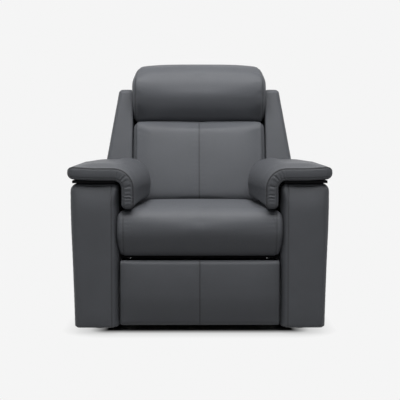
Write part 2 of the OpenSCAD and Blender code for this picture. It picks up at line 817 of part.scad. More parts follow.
// Steel brackets that carry the back's posts on the back pivot
bracket_bolt_y = post_y + post_d / 2;
bracket_bolts = [60, 110, 160];
module back_brackets() {
    reach = bracket_bolts[len(bracket_bolts) - 1];
    color("#6f7276") difference() {
        back_place() both_slabs(post_x1, crank_t) difference() {
            union() {
                bar([0, 0], [bracket_bolt_y, bracket_bolts[0]], post_d / 4);
                bar([bracket_bolt_y, bracket_bolts[0]], [bracket_bolt_y, reach], post_d / 4);
            }
            for (z = bracket_bolts) translate([bracket_bolt_y, z]) circle(bolt_r);
        }
        both_rods(back_pivot, back_pin_r + run_gap, post_x1 - cut, plate_x);
    }
}
// Twin crank plates under the back's bottom rail, slotted for the nut's pin
module back_crank() {
    head = [leaned(cover_y - post_d / 2, back_z + post_low / 2), back_z + post_low / 2];
    near = back_pivot + away(back_nut_at - back_pivot, back_crank_near);
    far = back_pivot + away(back_nut_at - back_pivot, back_crank_far);
    color("#6f7276") difference() {
        both_slabs(crank_x, crank_t) difference() {
            union() {
                bar(near, far, back_slot_r + crank_rim);
                bar(far, head, back_slot_r + crank_rim);
            }
            bar(near, far, back_slot_r);
        }
        back_rail_block(post_low + post_w / 2);
    }
}
// Vector of a given length in the direction of v
function away(v, length) = length * unit(v);

// Side plates between the arms and the links
module mechanism_plate() {
    color("#7b7e82") difference() {
        side_slab(plate_x, plate_t) polygon(rounded([
            [[-drive_y - link_r * 3, drive_z - link_r], link_r],
            [rear_pivot - [link_r, link_r * 2], link_r],
            [leg_tube_at - [tube_r * 2, tube_r * 2], link_r],
            [leg_tube_at + [tube_r * 2, -tube_r * 2], link_r],
            [[back_y - tube_r * 4, back_spindle_z - tube_r * 2], link_r],
            [[back_y + tube_r * 2, back_z - tube_r * 2], link_r],
            [[back_y + tube_r * 2, back_z + tube_r * 2], link_r],
            [[back_y - tube_r * 2, back_z + tube_r * 2], link_r],
            [[rail_rear, rail_top], link_r],
            [[-drive_y - link_r * 3, rail_top], link_r]]));
        for (at = concat(arm_bolts, seat_bolts)) rod(at, bolt_r + run_gap, plate_x - cut, arm_in + cut);
        for (at = [leg_tube_at, back_tube_at]) rod(at, tube_r + run_gap, plate_x - cut, arm_in + cut);
        for (at = [drive_pivot, rear_pivot]) rod(at, pin_r, plate_x - cut, arm_in + cut);
        rod(back_pivot, back_pin_r, plate_x - cut, arm_in + cut);
    }
}
module cross_tubes() {
    color("#55585c") for (at = [leg_tube_at, back_tube_at]) difference() {
        rod(at, tube_r, -arm_in, arm_in);
        rod(at, tube_r - tube_wall, -arm_in - cut, arm_in + cut);
    }
}
// Bolts that hold the side plates to the arms and to the seat rails
module right_bolts() {
    for (at = arm_bolts) {
        rod(at, bolt_r, plate_x - bolt_head_h, arm_in + cover_t + fit + board_t);
        rod(at, bolt_head_r, plate_x - bolt_head_h, plate_x);
    }
    for (at = seat_bolts) {
        rod(at, bolt_r, rail_x0 - bolt_head_h, arm_in);
        rod(at, bolt_head_r, rail_x0 - bolt_head_h, rail_x0);
    }
}
module frame_bolts() {
    color("#9a9da0") {
        right_bolts();
        left() right_bolts();
    }
}
// Pivot pins that stand fast in the side plates
module plate_pins() {
    color("#9a9da0") {
        both_rods(drive_pivot, pin_r, drive_link_x, arm_in);
        both_rods(rear_pivot, pin_r, rear_link_x, arm_in);
        both_rods(back_pivot, back_pin_r, post_x1, arm_in);
    }
}
// Drive link: it turns on the front pivot and carries the knee, the steady knee
// and the tube that joins both sides
module drive_links() {
    color("#8a8d91") difference() {
        both_slabs(drive_link_x, link_t) {
            bar(drive_pivot, knee, link_r);
            bar(knee, steady_knee, link_r);
            bar(drive_pivot, drive_tube_at, link_r + layer_gap);
        }
        both_rods(drive_pivot, pin_r + run_gap, drive_link_x - cut, drive_link_x + link_t + cut);
        for (at = [knee, steady_knee]) both_rods(at, pin_r, drive_link_x - cut, drive_link_x + link_t + cut);
        both_rods(drive_tube_at, drive_tube_r, drive_link_x - cut, drive_link_x + link_t + cut);
    }
}
module drive_pins() {
    color("#9a9da0") for (at = [knee, steady_knee])
        both_rods(at, pin_r, carrier_x, drive_link_x + link_t);
}
// Tube across the chair with the twin crank plates that the leg nut turns
module drive_tube() {
    end = drive_link_x + link_t;
    slot_out = away(leg_nut_at - drive_pivot, leg_crank_far + nut_pin_r / 2);
    slot_in = away(leg_nut_at - drive_pivot, leg_crank_near - nut_pin_r / 2);
    // The plates pass behind the drive pivot's line
    elbow = drive_pivot + along(180, leg_crank_near);
    color("#6f7276") difference() {
        union() {
            rod(drive_tube_at, drive_tube_r, -end, end);
            both_slabs(crank_x, crank_t) {
                bar(drive_tube_at, elbow, leg_slot_r + crank_rim / 2);
                bar(elbow, drive_pivot + slot_in, leg_slot_r + crank_rim);
                bar(drive_pivot + slot_in, drive_pivot + slot_out, leg_slot_r + crank_rim);
            }
        }
        side_slab(-crank_x - crank_t - cut, 2 * (crank_x + crank_t + cut))
            bar(drive_pivot + slot_in, drive_pivot + slot_out, leg_slot_r);
    }
}
// Rear link, between the rear pivot and the carrier's tail
module rear_links() {
    color("#8a8d91") difference() {
        both_slabs(rear_link_x, link_t) bar(rear_pivot, rear_knee, link_r);
        for (at = [rear_pivot, rear_knee])
            both_rods(at, pin_r + run_gap, rear_link_x - cut, rear_link_x + link_t + cut);
    }
}
// Carrier link: it keeps its slope while it carries the leg rest
module carrier_links() {
    color("#8a8d91") difference() {
        both_slabs(carrier_x, link_t) {
            bar(rear_knee, knee, link_r);
            bar(knee, foot, link_r);
        }
        both_rods(knee, pin_r + run_gap, carrier_x - cut, carrier_x + link_t + cut);
        for (at = [rear_knee, foot]) both_rods(at, pin_r, carrier_x - cut, carrier_x + link_t + cut);
    }
}
module carrier_pins() {
    color("#9a9da0") {
        both_rods(rear_knee, pin_r, carrier_x, rear_link_x + link_t);
        both_rods(foot, pin_r, bracket_x, carrier_x + link_t);
    }
}
// Steady link: it turns the leg rest with the drive link
module steady_links() {
    color("#8a8d91") difference() {
        both_slabs(carrier_x, link_t) bar(steady_knee, steady_foot, link_r);
        for (at = [steady_knee, steady_foot])
            both_rods(at, pin_r + run_gap, carrier_x - cut, carrier_x + link_t + cut);
    }
}
// Brackets from the link ends to the back of the leg rest's board
bracket_foot_w = 24;
module leg_brackets() {
    top = leg_high - leg_corner;
    low = foot.y - 3 * link_r;
    color("#6f7276") difference() {
        union() {
            both_slabs(bracket_x, link_t) {
                bar(foot, steady_foot, link_r);
                polygon([foot + [0, -link_r], [-leg_back, low], [-leg_back, top - link_r],
                    steady_foot + [0, -link_r]]);
            }
            for (x = [bracket_x + link_t - bracket_foot_w, -bracket_x - link_t])
                block([x, -leg_back, low], [x + bracket_foot_w, -leg_back + link_t, top - link_r]);
        }
        both_rods(foot, pin_r + run_gap, bracket_x - cut, bracket_x + link_t + cut);
        both_rods(steady_foot, pin_r, bracket_x - cut, bracket_x + link_t + cut);
    }
}
module bracket_pins() {
    color("#9a9da0") both_rods(steady_foot, pin_r, bracket_x, carrier_x + link_t);
}

// Gearbox with an eye on its cross tube and a motor hanging below it
module drive_unit(tube_at) {
    y0 = tube_at.x + eye_reach;
    low = tube_at.y - gear_h / 2;
    difference() {
        union() {
            block([-gear_w / 2, y0, low], [gear_w / 2, y0 + gear_l, low + gear_h]);
            side_slab(-gear_w / 4, gear_w / 2)
                bar(tube_at, tube_at + [eye_reach + cut, 0], tube_r + eye_wall);
            translate([0, y0 + gear_l / 2, low - motor_l]) cylinder(h = motor_l + cut, r = motor_r);
        }
        rod(tube_at, tube_r + run_gap, -gear_w, gear_w);
        translate([0, y0 + gear_l - spindle_seat, tube_at.y]) rotate([-90, 0, 0])
            cylinder(h = spindle_seat + cut, r = spindle_r);
    }
}
// Depth to which a spindle sits in its gearbox
spindle_seat = 20;
// The leg rest's drive looks forward from its tube, the back's looks rearward
module leg_motor() {
    color("#2c2d30") translate([0, 2 * leg_tube_at.x, 0]) mirror([0, 1, 0])
        drive_unit(leg_tube_at);
}
module back_motor() {
    color("#2c2d30") drive_unit(back_tube_at);
}
// Spindle along Y at height z, between two depths
module spindle(z, y0, y1) {
    translate([0, y0, z]) rotate([-90, 0, 0]) cylinder(h = y1 - y0, r = spindle_r);
}
leg_gear_face = leg_tube_at.x - eye_reach - gear_l;
leg_nut_travel = 2 * leg_spindle_drop * tan(fold_angle / 2);
module leg_spindle() {
    color("#b4b7ba") spindle(leg_spindle_z,
        leg_nut_at.x - leg_nut_travel - nut_half_l - spindle_r, leg_gear_face + spindle_seat);
}
back_gear_face = back_tube_at.x + eye_reach + gear_l;
module back_spindle() {
    color("#b4b7ba") spindle(back_spindle_z, back_gear_face - spindle_seat,
        back_nut_at.x + nut_half_l + spindle_r);
}
// Nut block with a pin that stands out into both crank plates
module nut(at) {
    difference() {
        union() {
            block([-nut_half_w, at.x - nut_half_l, at.y - nut_half_h],
                [nut_half_w, at.x + nut_half_l, at.y + nut_half_h]);
            for (x = [-crank_x - crank_t - layer_gap, nut_half_w - cut])
                rod(at, nut_pin_r, x, x + crank_x + crank_t + layer_gap - nut_half_w + cut);
        }
        translate([0, at.x - nut_half_l - cut, at.y]) rotate([-90, 0, 0])
            cylinder(h = 2 * (nut_half_l + cut), r = spindle_r + run_gap);
    }
}
module leg_nut() {
    color("#d8d4c8") nut(leg_nut_at);
}
module back_nut() {
    color("#d8d4c8") nut(back_nut_at);
}

// Timber rails under the seat cushion
rail_rear_y = rail_rear - rail_w;
module seat_side_rails() {
    color("#b99668") difference() {
        for (x = [rail_x0, -rail_x1]) block([x, -rail_front, rail_z],
            [x + rail_w, rail_rear, rail_top]);
        for (at = seat_bolts) both_rods(at, bolt_r, rail_x0 - cut, rail_x1 + cut);
    }
}
module seat_cross_rail(y) {
    color("#b99668") block([-rail_x0, y, rail_z], [rail_x0, y + rail_w, rail_top]);
}
module seat_front_rail() {
    seat_cross_rail(-rail_front);
}
module seat_rear_rail() {
    seat_cross_rail(rail_rear_y);
}
// Zigzag springs on top of the cross rails: the wire's middle line weaves from
// the front rail to the rear rail and is given its width along its normals
spring_y0 = -rail_front + rail_w / 3;
spring_y1 = rail_rear - rail_w / 3;
spring_steps = 8;
spring_bends = round((spring_y1 - spring_y0) / spring_pitch / 2) * 2;
function spring_line() = [for (i = [0:spring_bends * spring_steps])
    let (s = i / (spring_bends * spring_steps), turn = 180 * spring_bends * s)
    [spring_wander * (abs(sin(turn)) < 0.001 ? 0 : sin(turn)), spring_y0 + (spring_y1 - spring_y0) * s]];
module zigzag() {
    line = spring_line();
    n = len(line);
    side = [for (i = [0:n - 1])
        let (t = unit(line[min(n - 1, i + 1)] - line[max(0, i - 1)]))
        spring_wire / 2 * [-t.y, t.x]];
    linear_extrude(spring_wire) polygon(concat([for (i = [0:n - 1]) line[i] + side[i]],
        [for (i = [n - 1:-1:0]) line[i] - side[i]]));
}
spring_gap = 2 * rail_x0 / (spring_count + 1);
spring_xs = [for (i = [1:spring_count]) -rail_x0 + spring_gap * i];
module seat_springs() {
    color("#8e9194") for (x = spring_xs) translate([x, 0, rail_top]) zigzag();
}
module spring_clips() {
    inner = spring_wander + spring_wire;
    color("#9a9da0") for (x = spring_xs, y = [spring_y0 + clip_l / 4, spring_y1 - clip_l / 4])
        translate([x, y, rail_top]) difference() {
            block([-inner - clip_l / 2, -clip_l / 2, 0],
                [inner + clip_l / 2, clip_l / 2, spring_wire + clip_t]);
            block([-inner, -clip_l, -cut], [inner, clip_l, spring_wire + fit / 3]);
        }
}

// Timber rail and padded panel between the arms at the rear
rear_panel_y = rear_rail_y + rear_rail_t;
module rear_rail() {
    color("#b99668") block([-arm_in, rear_rail_y, rear_rail_z],
        [arm_in, rear_panel_y, rear_rail_z + rear_rail_h]);
}
module rear_panel() {
    half = arm_in - seat_side_gap / 2;
    color("#3f4043") difference() {
        block([-half, rear_panel_y, rear_panel_z],
            [half, rear_panel_y + rear_panel_t, rear_panel_top]);
        inlet_rod(inlet_r, rear_panel_y - cut, rear_panel_y + rear_panel_t + cut);
    }
}
module power_box() {
    z = rear_rail_z + (rear_rail_h - power_h) / 2;
    color("#232427") block([-power_w / 2, rear_rail_y - power_d, z],
        [power_w / 2, rear_rail_y, z + power_h]);
}
// Low voltage inlet in the rear panel: a collar round a blind socket
inlet_lip = 4;
inlet_bore = 2.75;
inlet_depth = 12;
module inlet_rod(r, y0, y1) {
    translate([inlet_x, y0, inlet_z]) rotate([-90, 0, 0]) cylinder(h = y1 - y0, r = r);
}
module power_inlet() {
    face = rear_panel_y + rear_panel_t;
    color("#1c1c1e") difference() {
        union() {
            inlet_rod(inlet_r, rear_panel_y - inlet_lip, face + inlet_lip / 2);
            inlet_rod(inlet_r + inlet_lip, face, face + inlet_lip / 2);
        }
        inlet_rod(inlet_bore, face + inlet_lip / 2 - inlet_depth, face + inlet_lip);
    }
}

// Control bezel: a flange with a hollow body and four button bores
button_x = bezel_x + bezel_flange_t;
button_cells = [[-1, 1], [1, 1], [-1, -1], [1, -1]];
function cell_at(c) = [bezel_y + button_pitch / 2 * c.x * bezel_spread, bezel_z + button_pitch / 2 * c.y];
// The two pairs of buttons stand farther apart than the buttons of one pair
bezel_spread = 1.5;
module bezel_right() {
    l = bezel_l / 2;
    h = bezel_h / 2;
    l1 = l - bezel_rim;
    h1 = h - bezel_rim;
    face = button_x - bezel_face_t;
    difference() {
        union() {
            block([bezel_x, bezel_y - l, bezel_z - h], [button_x, bezel_y + l, bezel_z + h]);
            block([bezel_x - bezel_depth, bezel_y - l1, bezel_z - h1],
                [bezel_x + bezel_flange_t / 2, bezel_y + l1, bezel_z + h1]);
        }
        block([bezel_x - bezel_depth - cut, bezel_y - l1 + bezel_wall, bezel_z - h1 + bezel_wall],
            [face, bezel_y + l1 - bezel_wall, bezel_z + h1 - bezel_wall]);
        for (c = button_cells) rod(cell_at(c), button_r + run_gap, face - cut, button_x + cut);
    }
}
// Button with a collar behind the bezel's face and a stem towards its switch
module button_right(c) {
    at = cell_at(c);
    collar = button_x - bezel_face_t - fit / 3;
    rod(at, button_r, collar - cut, button_x + button_proud);
    rod(at, button_collar_r, collar - button_collar_t, collar);
    rod(at, button_stem_r, collar - button_collar_t - button_stem_l, collar);
}
module control_bezel() {
    color("#2a2b2e") left() bezel_right();
}
// Block of switches that closes the bezel's body
module switch_body() {
    l = bezel_l / 2 - bezel_rim - bezel_wall - fit / 3;
    h = bezel_h / 2 - bezel_rim - bezel_wall - fit / 3;
    front = button_x - bezel_face_t - fit / 3 - button_collar_t - button_stem_l
        - button_travel - fit;
    color("#1c1c1e") left() block([bezel_x - bezel_depth, bezel_y - l, bezel_z - h],
        [front, bezel_y + l, bezel_z + h]);
}
module button(i) {
    color("#b9bcc0") left() button_right(button_cells[i]);
}

left() arm_cover(true);  // arm_cover_left
arm_cover(false);  // arm_cover_right
left() arm_frame(true);  // arm_frame_left
arm_frame(false);  // arm_frame_right
left() arm_pad();  // arm_pad_left
arm_pad();  // arm_pad_right
left() pad_board();  // pad_board_left
pad_board();  // pad_board_right
left() mechanism_plate();  // mechanism_plate_left
mechanism_plate();  // mechanism_plate_right
cross_tubes();
frame_bolts();
plate_pins();
seat_side_rails();
seat_front_rail();
seat_rear_rail();
seat_springs();
spring_clips();
seat_cushion();
glides();
glide_screws();
rear_rail();
rear_panel();
power_box();
power_inlet();
leg_motor();
leg_spindle();
back_motor();
back_spindle();
control_bezel();
switch_body();
button(0);  // button_leg_out
button(2);  // button_leg_in
button(1);  // button_recline
button(3);  // button_upright
drive_links();
drive_tube();
drive_pins();
rear_links();
carrier_links();
carrier_pins();
steady_links();
leg_brackets();
bracket_pins();
leg_board();
leg_pad();
leg_nut();
back_nut();
back_posts();
back_top_rail();
back_bottom_rail();
back_board();
back_cushion();
head_pillow();
left() wing();  // wing_left
wing();  // wing_right
back_cover();
back_brackets();
back_crank();
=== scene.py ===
"""Dresses a packed cinema recliner seat: leather skins, seams, hardware finishes and a studio.

Lengths are in metres, in the chair's own frame: the front faces -Y, +X is the viewer's
right and the floor is z = 0. A side plane is (y, z), and a front plane is (x, z).
"""

import math
from contextlib import contextmanager

import bmesh
import bpy
import numpy as np
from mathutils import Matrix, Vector


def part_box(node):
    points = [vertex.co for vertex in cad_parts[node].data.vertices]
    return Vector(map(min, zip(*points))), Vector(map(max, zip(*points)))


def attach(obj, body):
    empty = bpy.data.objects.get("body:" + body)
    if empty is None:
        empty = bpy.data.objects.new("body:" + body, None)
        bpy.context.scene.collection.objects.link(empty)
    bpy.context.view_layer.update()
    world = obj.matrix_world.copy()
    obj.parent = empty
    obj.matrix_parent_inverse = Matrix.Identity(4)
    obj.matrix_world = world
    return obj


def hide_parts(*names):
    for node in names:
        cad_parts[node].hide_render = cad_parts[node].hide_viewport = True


bl_info = {
    "name": "Recliner Seat Upholstery",
    "version": (1, 0, 0),
    "blender": (4, 5, 0),
    "location": "View3D > Sidebar > Recliner",
    "description": "Dresses a recliner armchair in leather skins and studio light",
    "category": "Add Mesh",
}

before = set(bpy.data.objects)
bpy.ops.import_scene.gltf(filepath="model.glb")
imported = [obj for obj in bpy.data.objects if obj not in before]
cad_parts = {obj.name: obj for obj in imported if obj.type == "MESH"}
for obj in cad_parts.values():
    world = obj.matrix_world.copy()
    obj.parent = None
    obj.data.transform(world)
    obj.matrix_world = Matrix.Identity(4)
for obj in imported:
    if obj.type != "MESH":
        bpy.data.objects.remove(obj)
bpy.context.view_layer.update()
MM = 0.001


def corners(node):
    """Lowest and highest corner of a node of the chair, as arrays."""
    return [np.array(c, float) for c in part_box(node)]


def length(name, default, description):
    """Setting in metres."""
    return bpy.props.FloatProperty(name=name, default=default, description=description,
                                   unit="LENGTH")


def colour(name, default, description):
    """Setting that is a colour."""
    return bpy.props.FloatVectorProperty(name=name, default=default, description=description,
                                         subtype="COLOR")


def number(name, default, description, subtype="NONE"):
    """Setting that is a plain number, a share or an angle."""
    return bpy.props.FloatProperty(name=name, default=default, description=description,
                                   subtype=subtype)


class LeatherSettings(bpy.types.PropertyGroup):
    """Colours and grain of the chair's leather."""

    base: colour("Leather", (0.083, 0.087, 0.096), "Colour of the leather")
    seam: colour("Seam", (0.030, 0.031, 0.034), "Colour of the thread and of the seams' shade")
    grain: length("Grain", 1.5 * MM, "Size of one pebble of the grain")
    roughness: number("Roughness", 0.5, "Roughness of the leather", "FACTOR")


class CushionSettings(bpy.types.PropertyGroup):
    """Sizes of the cushions' and pads' soft shapes."""

    swell: number("Swell", 4.0, "Pressure that fills the cushions")
    seam_width: length("Seam width", 3.4 * MM, "Width of a sewn groove")
    seam_depth: length("Seam depth", 1.8 * MM, "Depth of a sewn groove")
    piping: length("Piping", 2.4 * MM, "Radius of the piping along the arm pads")
    gathers: length("Gathers", 2.9 * MM, "Depth of the gathers on the arm pads")


class StudioSettings(bpy.types.PropertyGroup):
    """Camera and light of the studio."""

    distance: length("Distance", 4.96, "Camera's distance from the chair's middle")
    height: length("Height", 0.81, "Camera's height above the floor")
    aside: length("Aside", -0.024, "Camera's place right of the chair's middle")
    pitch: number("Pitch", math.radians(3.7), "How far the camera looks down", "ANGLE")
    yaw: number("Yaw", math.radians(0.31), "How far the camera looks to the right", "ANGLE")
    lens: number("Lens", 106.6, "Focal length in millimetres")
    whiteness: number("Whiteness", 0.68, "Share of the ground's own white near the chair",
                      "FACTOR")
    ground: colour("Ground", (0.913, 0.913, 0.913), "Colour of the floor and the backdrop")


# Grids and outlines


def smooth_step(x, low, high):
    """0 below low, 1 above high, and 3t^2 - 2t^3 between them."""
    t = np.clip((x - low) / (high - low), 0.0, 1.0)
    return t * t * (3 - 2 * t)


def rounded_outline(points, radii, count):
    """Closed outline through corner points, each replaced by a circle's arc that is tangent to
    both sides, as count places at even steps of arc length, from the first arc's start."""
    p = np.asarray(points, float)
    steps = np.linspace(0, 1, 17)[:, None]
    runs = []
    for i, r in enumerate(radii):
        a, b, c = p[i - 1], p[i], p[(i + 1) % len(p)]
        u = (a - b) / np.linalg.norm(a - b)
        v = (c - b) / np.linalg.norm(c - b)
        half = math.acos(np.clip(u @ v, -1, 1)) / 2
        reach = r / math.tan(half)
        hub = b + (u + v) / np.linalg.norm(u + v) * r / math.sin(half)
        start, end = b + u * reach - hub, b + v * reach - hub
        a0 = math.atan2(start[1], start[0])
        da = (math.atan2(end[1], end[0]) - a0 + math.pi) % (2 * math.pi) - math.pi
        angle = a0 + da * steps
        runs.append(hub + r * np.hstack([np.cos(angle), np.sin(angle)]))
    line = np.vstack(runs + [runs[0][:1]])
    reach = np.concatenate([[0], np.cumsum(np.linalg.norm(np.diff(line, axis=0), axis=1))])
    at = np.linspace(0, reach[-1], count, endpoint=False)
    return np.column_stack([np.interp(at, reach, line[:, k]) for k in (0, 1)])


def rounded_box(low, high, radii, count):
    """Rounded outline of a rectangle between two corners, from the low one, and its middle."""
    (a, b), (c, d) = low, high
    ring = rounded_outline([(a, b), (c, b), (c, d), (a, d)], radii, count)
    return ring, np.array([(a + c) / 2, (b + d) / 2])


def softened(ring, rounds):
    """Closed outline whose places are averaged with their neighbours, 1 : 2 : 1, in rounds."""
    for _ in range(rounds):
        ring = (np.roll(ring, 1, axis=0) + 2 * ring + np.roll(ring, -1, axis=0)) / 4
    return ring


def near(gap, reach):
    """1 where a gap is 0, fading as exp(-(gap / reach)^2)."""
    return np.exp(-((gap / reach) ** 2))


def inset_outline(ring, depth):
    """Anticlockwise outline moved inwards along its own normals by depth."""
    t = np.roll(ring, -1, axis=0) - np.roll(ring, 1, axis=0)
    t /= np.linalg.norm(t, axis=1)[:, None]
    return ring + depth * np.column_stack([-t[:, 1], t[:, 0]])


def grid_normals(grid):
    """Unit normals of a grid whose columns close: the cross product of the differences along
    its rows and its columns."""
    along = np.gradient(grid, axis=0)
    around = np.roll(grid, -1, axis=1) - np.roll(grid, 1, axis=1)
    n = np.cross(around, along)
    return n / np.maximum(np.linalg.norm(n, axis=2, keepdims=True), 1e-12)


def end_profile(half, radius, bulge, spacing, face=np.linspace(0, 1, 9)[:-1]):
    """Stations of a sweep from -half to half as (place, inset) pairs: at each end the section
    draws in over a quarter circle of the given radius, and the end face behind it swells out
    by bulge. The inset is in metres; a station with inset below 0 shrinks the section of the
    rounded end towards its hub by that share instead. The shares of the end face are face."""
    arc = np.linspace(0, math.pi / 2, 11)
    run = np.arange(-half + radius, 0, spacing)[1:]
    places = np.concatenate([
        -half + bulge * (face**2), -half + bulge + (radius - bulge) * (1 - np.cos(arc)), run])
    insets = np.concatenate([
        -(1 - face), radius * (1 - np.sin(arc)), np.zeros(len(run))])
    return (np.concatenate([places, [0], -places[::-1]]),
            np.concatenate([insets, [0], insets[::-1]]))


def swept(ring, hub, insets, radius, inward=None):
    """Section carried along an axis, as (station, place, 2): each station's ring is the section
    moved in along its normals by the station's inset, and a negative inset leaves 1 + inset of
    the ring that is moved in by the whole radius, scaled about the hub. An open section gives
    its own normals."""
    if inward is None:
        inward = inset_outline(ring, 1.0) - ring
    depth = np.where(insets < 0, radius, insets)[:, None, None]
    scale = np.where(insets < 0, 1 + insets, 1.0)[:, None, None]
    return hub + (ring + depth * inward - hub) * scale


def signed_volume(points, faces):
    """Volume inside triangles, as the sum of a.(b x c) / 6 over their corners."""
    a, b, c = (points[faces[:, k]] for k in range(3))
    return float(np.einsum("ij,ij->i", a, np.cross(b, c)).sum() / 6)


def mesh_piece(name, points, quads, triangles):
    """Smooth mesh of quads and triangles whose faces look outwards: all of them are turned
    round if the volume inside them comes out negative."""
    split = np.vstack([quads[:, [0, 1, 2]], quads[:, [0, 2, 3]], triangles.reshape(-1, 3)])
    if signed_volume(points - points.mean(axis=0), split) < 0:
        quads, triangles = quads[:, ::-1], triangles.reshape(-1, 3)[:, ::-1]
    mesh = bpy.data.meshes.new(name)
    mesh.from_pydata(points.tolist(), [], quads.tolist() + triangles.tolist())
    mesh.polygons.foreach_set("use_smooth", np.ones(len(mesh.polygons), bool))
    mesh.update()
    piece = bpy.data.objects.new(name, mesh)
    bpy.context.scene.collection.objects.link(piece)
    return piece


def grid_quads(rows, columns, closed):
    """Quads between the rows of a grid of numbered places; closed joins the last column to
    the first one."""
    i, j = np.meshgrid(np.arange(rows - 1), np.arange(columns if closed else columns - 1),
                       indexing="ij")
    i, k = i * columns, (j + 1) % columns
    return np.stack([i + j, i + k, i + columns + k, i + columns + j], axis=-1).reshape(-1, 4)


def ended_skin(name, grid, closed=True):
    """Mesh from a grid of stations whose first and last ones are single places: quads between
    the stations, whose sections are closed or open, and a fan of triangles round each end."""
    m, n = grid.shape[0] - 2, grid.shape[1]
    points = np.vstack([grid[1:-1].reshape(-1, 3), grid[0, :1], grid[-1, :1]])
    j = np.arange(n if closed else n - 1)
    k = (j + 1) % n
    last = (m - 1) * n
    fans = np.vstack([np.column_stack([np.full(len(j), m * n), k, j]),
                      np.column_stack([np.full(len(j), m * n + 1), last + j, last + k])])
    return mesh_piece(name, points, grid_quads(m, n, closed), fans)


def of_vertices(data, kind="co"):
    """Places or normals of a mesh's vertices as an array."""
    values = np.empty(len(data.vertices) * 3, np.float32)
    data.vertices.foreach_get(kind, values)
    return values.reshape(-1, 3).astype(float)


def put_places(piece, points):
    """Moves the vertices of a piece to points."""
    piece.data.vertices.foreach_set("co", np.ascontiguousarray(points, np.float32).ravel())
    piece.data.update()


def put_shade(piece, name, values):
    """Stores one number for each vertex of a piece, for its material."""
    layer = piece.data.attributes.get(name) or piece.data.attributes.new(name, "FLOAT", "POINT")
    layer.data.foreach_set("value", np.ascontiguousarray(values, np.float32))


def sewn(gap, along, width, depth, pucker=0.0, pitch=22 * MM, reach=24 * MM, seed=0.0):
    """How far a seam pulls points in that lie gap off it, at a length along it: a groove of
    depth exp(-(gap / width)^2), and puckers sin^2 along the seam that fade as
    exp(-(gap / reach)^2). Also returns the mark of the stitching and of the shade painted in
    its seam, exp(-(2 gap / width)^2)."""
    wave = np.sin(np.pi * along / pitch + 1.3 * np.sin(along / (1.7 * pitch) + seed) + seed) ** 2
    slow = np.sin(along / (0.9 * pitch) + 2 * seed) * np.sin(along / (2.9 * pitch) + seed)
    wave *= 0.5 + 0.5 * slow
    groove = near(gap, width)
    return depth * groove + pucker * wave * near(gap, reach) * (1 - groove), near(2 * gap, width)


# Steps of a cushion's filling, how far past the cap its fullest points would go, and the
# share of its points that stay below those
FILL_STEPS = 20
OVERFILL = 1.15
FULLEST = 97


def filled(piece, cap, held):
    """Fills a cushion: the closed shape is remeshed in even steps, its cloth swells under pressure
    while the held part stays, and its swell is scaled so that it levels off at cap. Four rounds
    of evening out and one subdivision finish it."""
    remesh = piece.modifiers.new("Even steps", "REMESH")
    remesh.mode = "VOXEL"
    remesh.voxel_size = VOXEL
    applied(piece)
    rest = of_vertices(piece.data)
    keep = piece.vertex_groups.new(name="held")
    weights = held(rest)
    for level in np.unique(np.round(weights, 1)):
        where = np.flatnonzero(np.isclose(np.round(weights, 1), level))
        keep.add(where.tolist(), float(level), "REPLACE")
    cloth = piece.modifiers.new("Filling", "CLOTH")
    cloth.settings.use_pressure = True
    cloth.settings.uniform_pressure_force = bpy.context.scene.recliner_cushions.swell
    cloth.settings.vertex_group_mass = "held"
    cloth.settings.effector_weights.gravity = 0
    cloth.settings.quality = 5
    for step in range(1, FILL_STEPS + 1):
        bpy.context.scene.frame_set(step)
    graph = bpy.context.evaluated_depsgraph_get()
    swollen = bpy.data.meshes.new_from_object(piece.evaluated_get(graph))
    after = of_vertices(swollen)
    bpy.data.meshes.remove(swollen)
    piece.modifiers.clear()
    bpy.context.scene.frame_set(1)
    move = after - rest
    size = np.linalg.norm(move, axis=1, keepdims=True)
    grown = OVERFILL * cap * size / np.percentile(size, FULLEST)
    put_places(piece, rest + move / np.maximum(size, 1e-9) * cap * np.tanh(grown / cap))
    piece.vertex_groups.clear()
    relaxed(piece, 4)
    surface = piece.modifiers.new("Rounding", "SUBSURF")
    surface.levels = surface.render_levels = 1
    applied(piece)


def applied(piece):
    """Puts what a piece's modifiers make into its mesh."""
    graph = bpy.context.evaluated_depsgraph_get()
    mesh = bpy.data.meshes.new_from_object(piece.evaluated_get(graph))
    old = piece.data
    mesh.name = old.name
    piece.modifiers.clear()
    piece.data = mesh
    bpy.data.meshes.remove(old)
    mesh.polygons.foreach_set("use_smooth", np.ones(len(mesh.polygons), bool))
    mesh.update()


def relaxed(piece, rounds):
    """Evens out a mesh: in each round every point goes half way to its neighbours' mean."""
    edges = np.empty(len(piece.data.edges) * 2, np.int32)
    piece.data.edges.foreach_get("vertices", edges)
    a, b = edges.reshape(-1, 2).T
    points = of_vertices(piece.data)
    count = np.bincount(np.concatenate([a, b]), minlength=len(points))[:, None]
    for _ in range(rounds):
        total = np.column_stack([
            np.bincount(a, points[b, k], len(points)) + np.bincount(b, points[a, k], len(points))
            for k in range(3)])
        points = 0.5 * points + 0.5 * total / count
    put_places(piece, points)


# Finishes


def add_node(tree, kind, values=(), **settings):
    """New shader node with its settings and its inputs' values."""
    node = tree.nodes.new("ShaderNode" + kind)
    for name, value in settings.items():
        setattr(node, name, value)
    for key, value in dict(values).items():
        node.inputs[key].default_value = value
    return node


def new_finish(name):
    """New material, with its node tree, its shader and its Object coordinates."""
    material = bpy.data.materials.new(name)
    material.use_nodes = True
    tree = material.node_tree
    shader = tree.nodes["Principled BSDF"]
    where = tree.nodes.new("ShaderNodeTexCoord").outputs["Object"]
    return material, tree, shader, where


def noise(tree, where, scale, detail=2.0, roughness=0.5):
    """Output of a noise whose features are about 1 / scale metres wide."""
    node = add_node(tree, "TexNoise", {"Scale": scale, "Detail": detail, "Roughness": roughness})
    tree.links.new(where, node.inputs["Vector"])
    return node.outputs["Fac"]


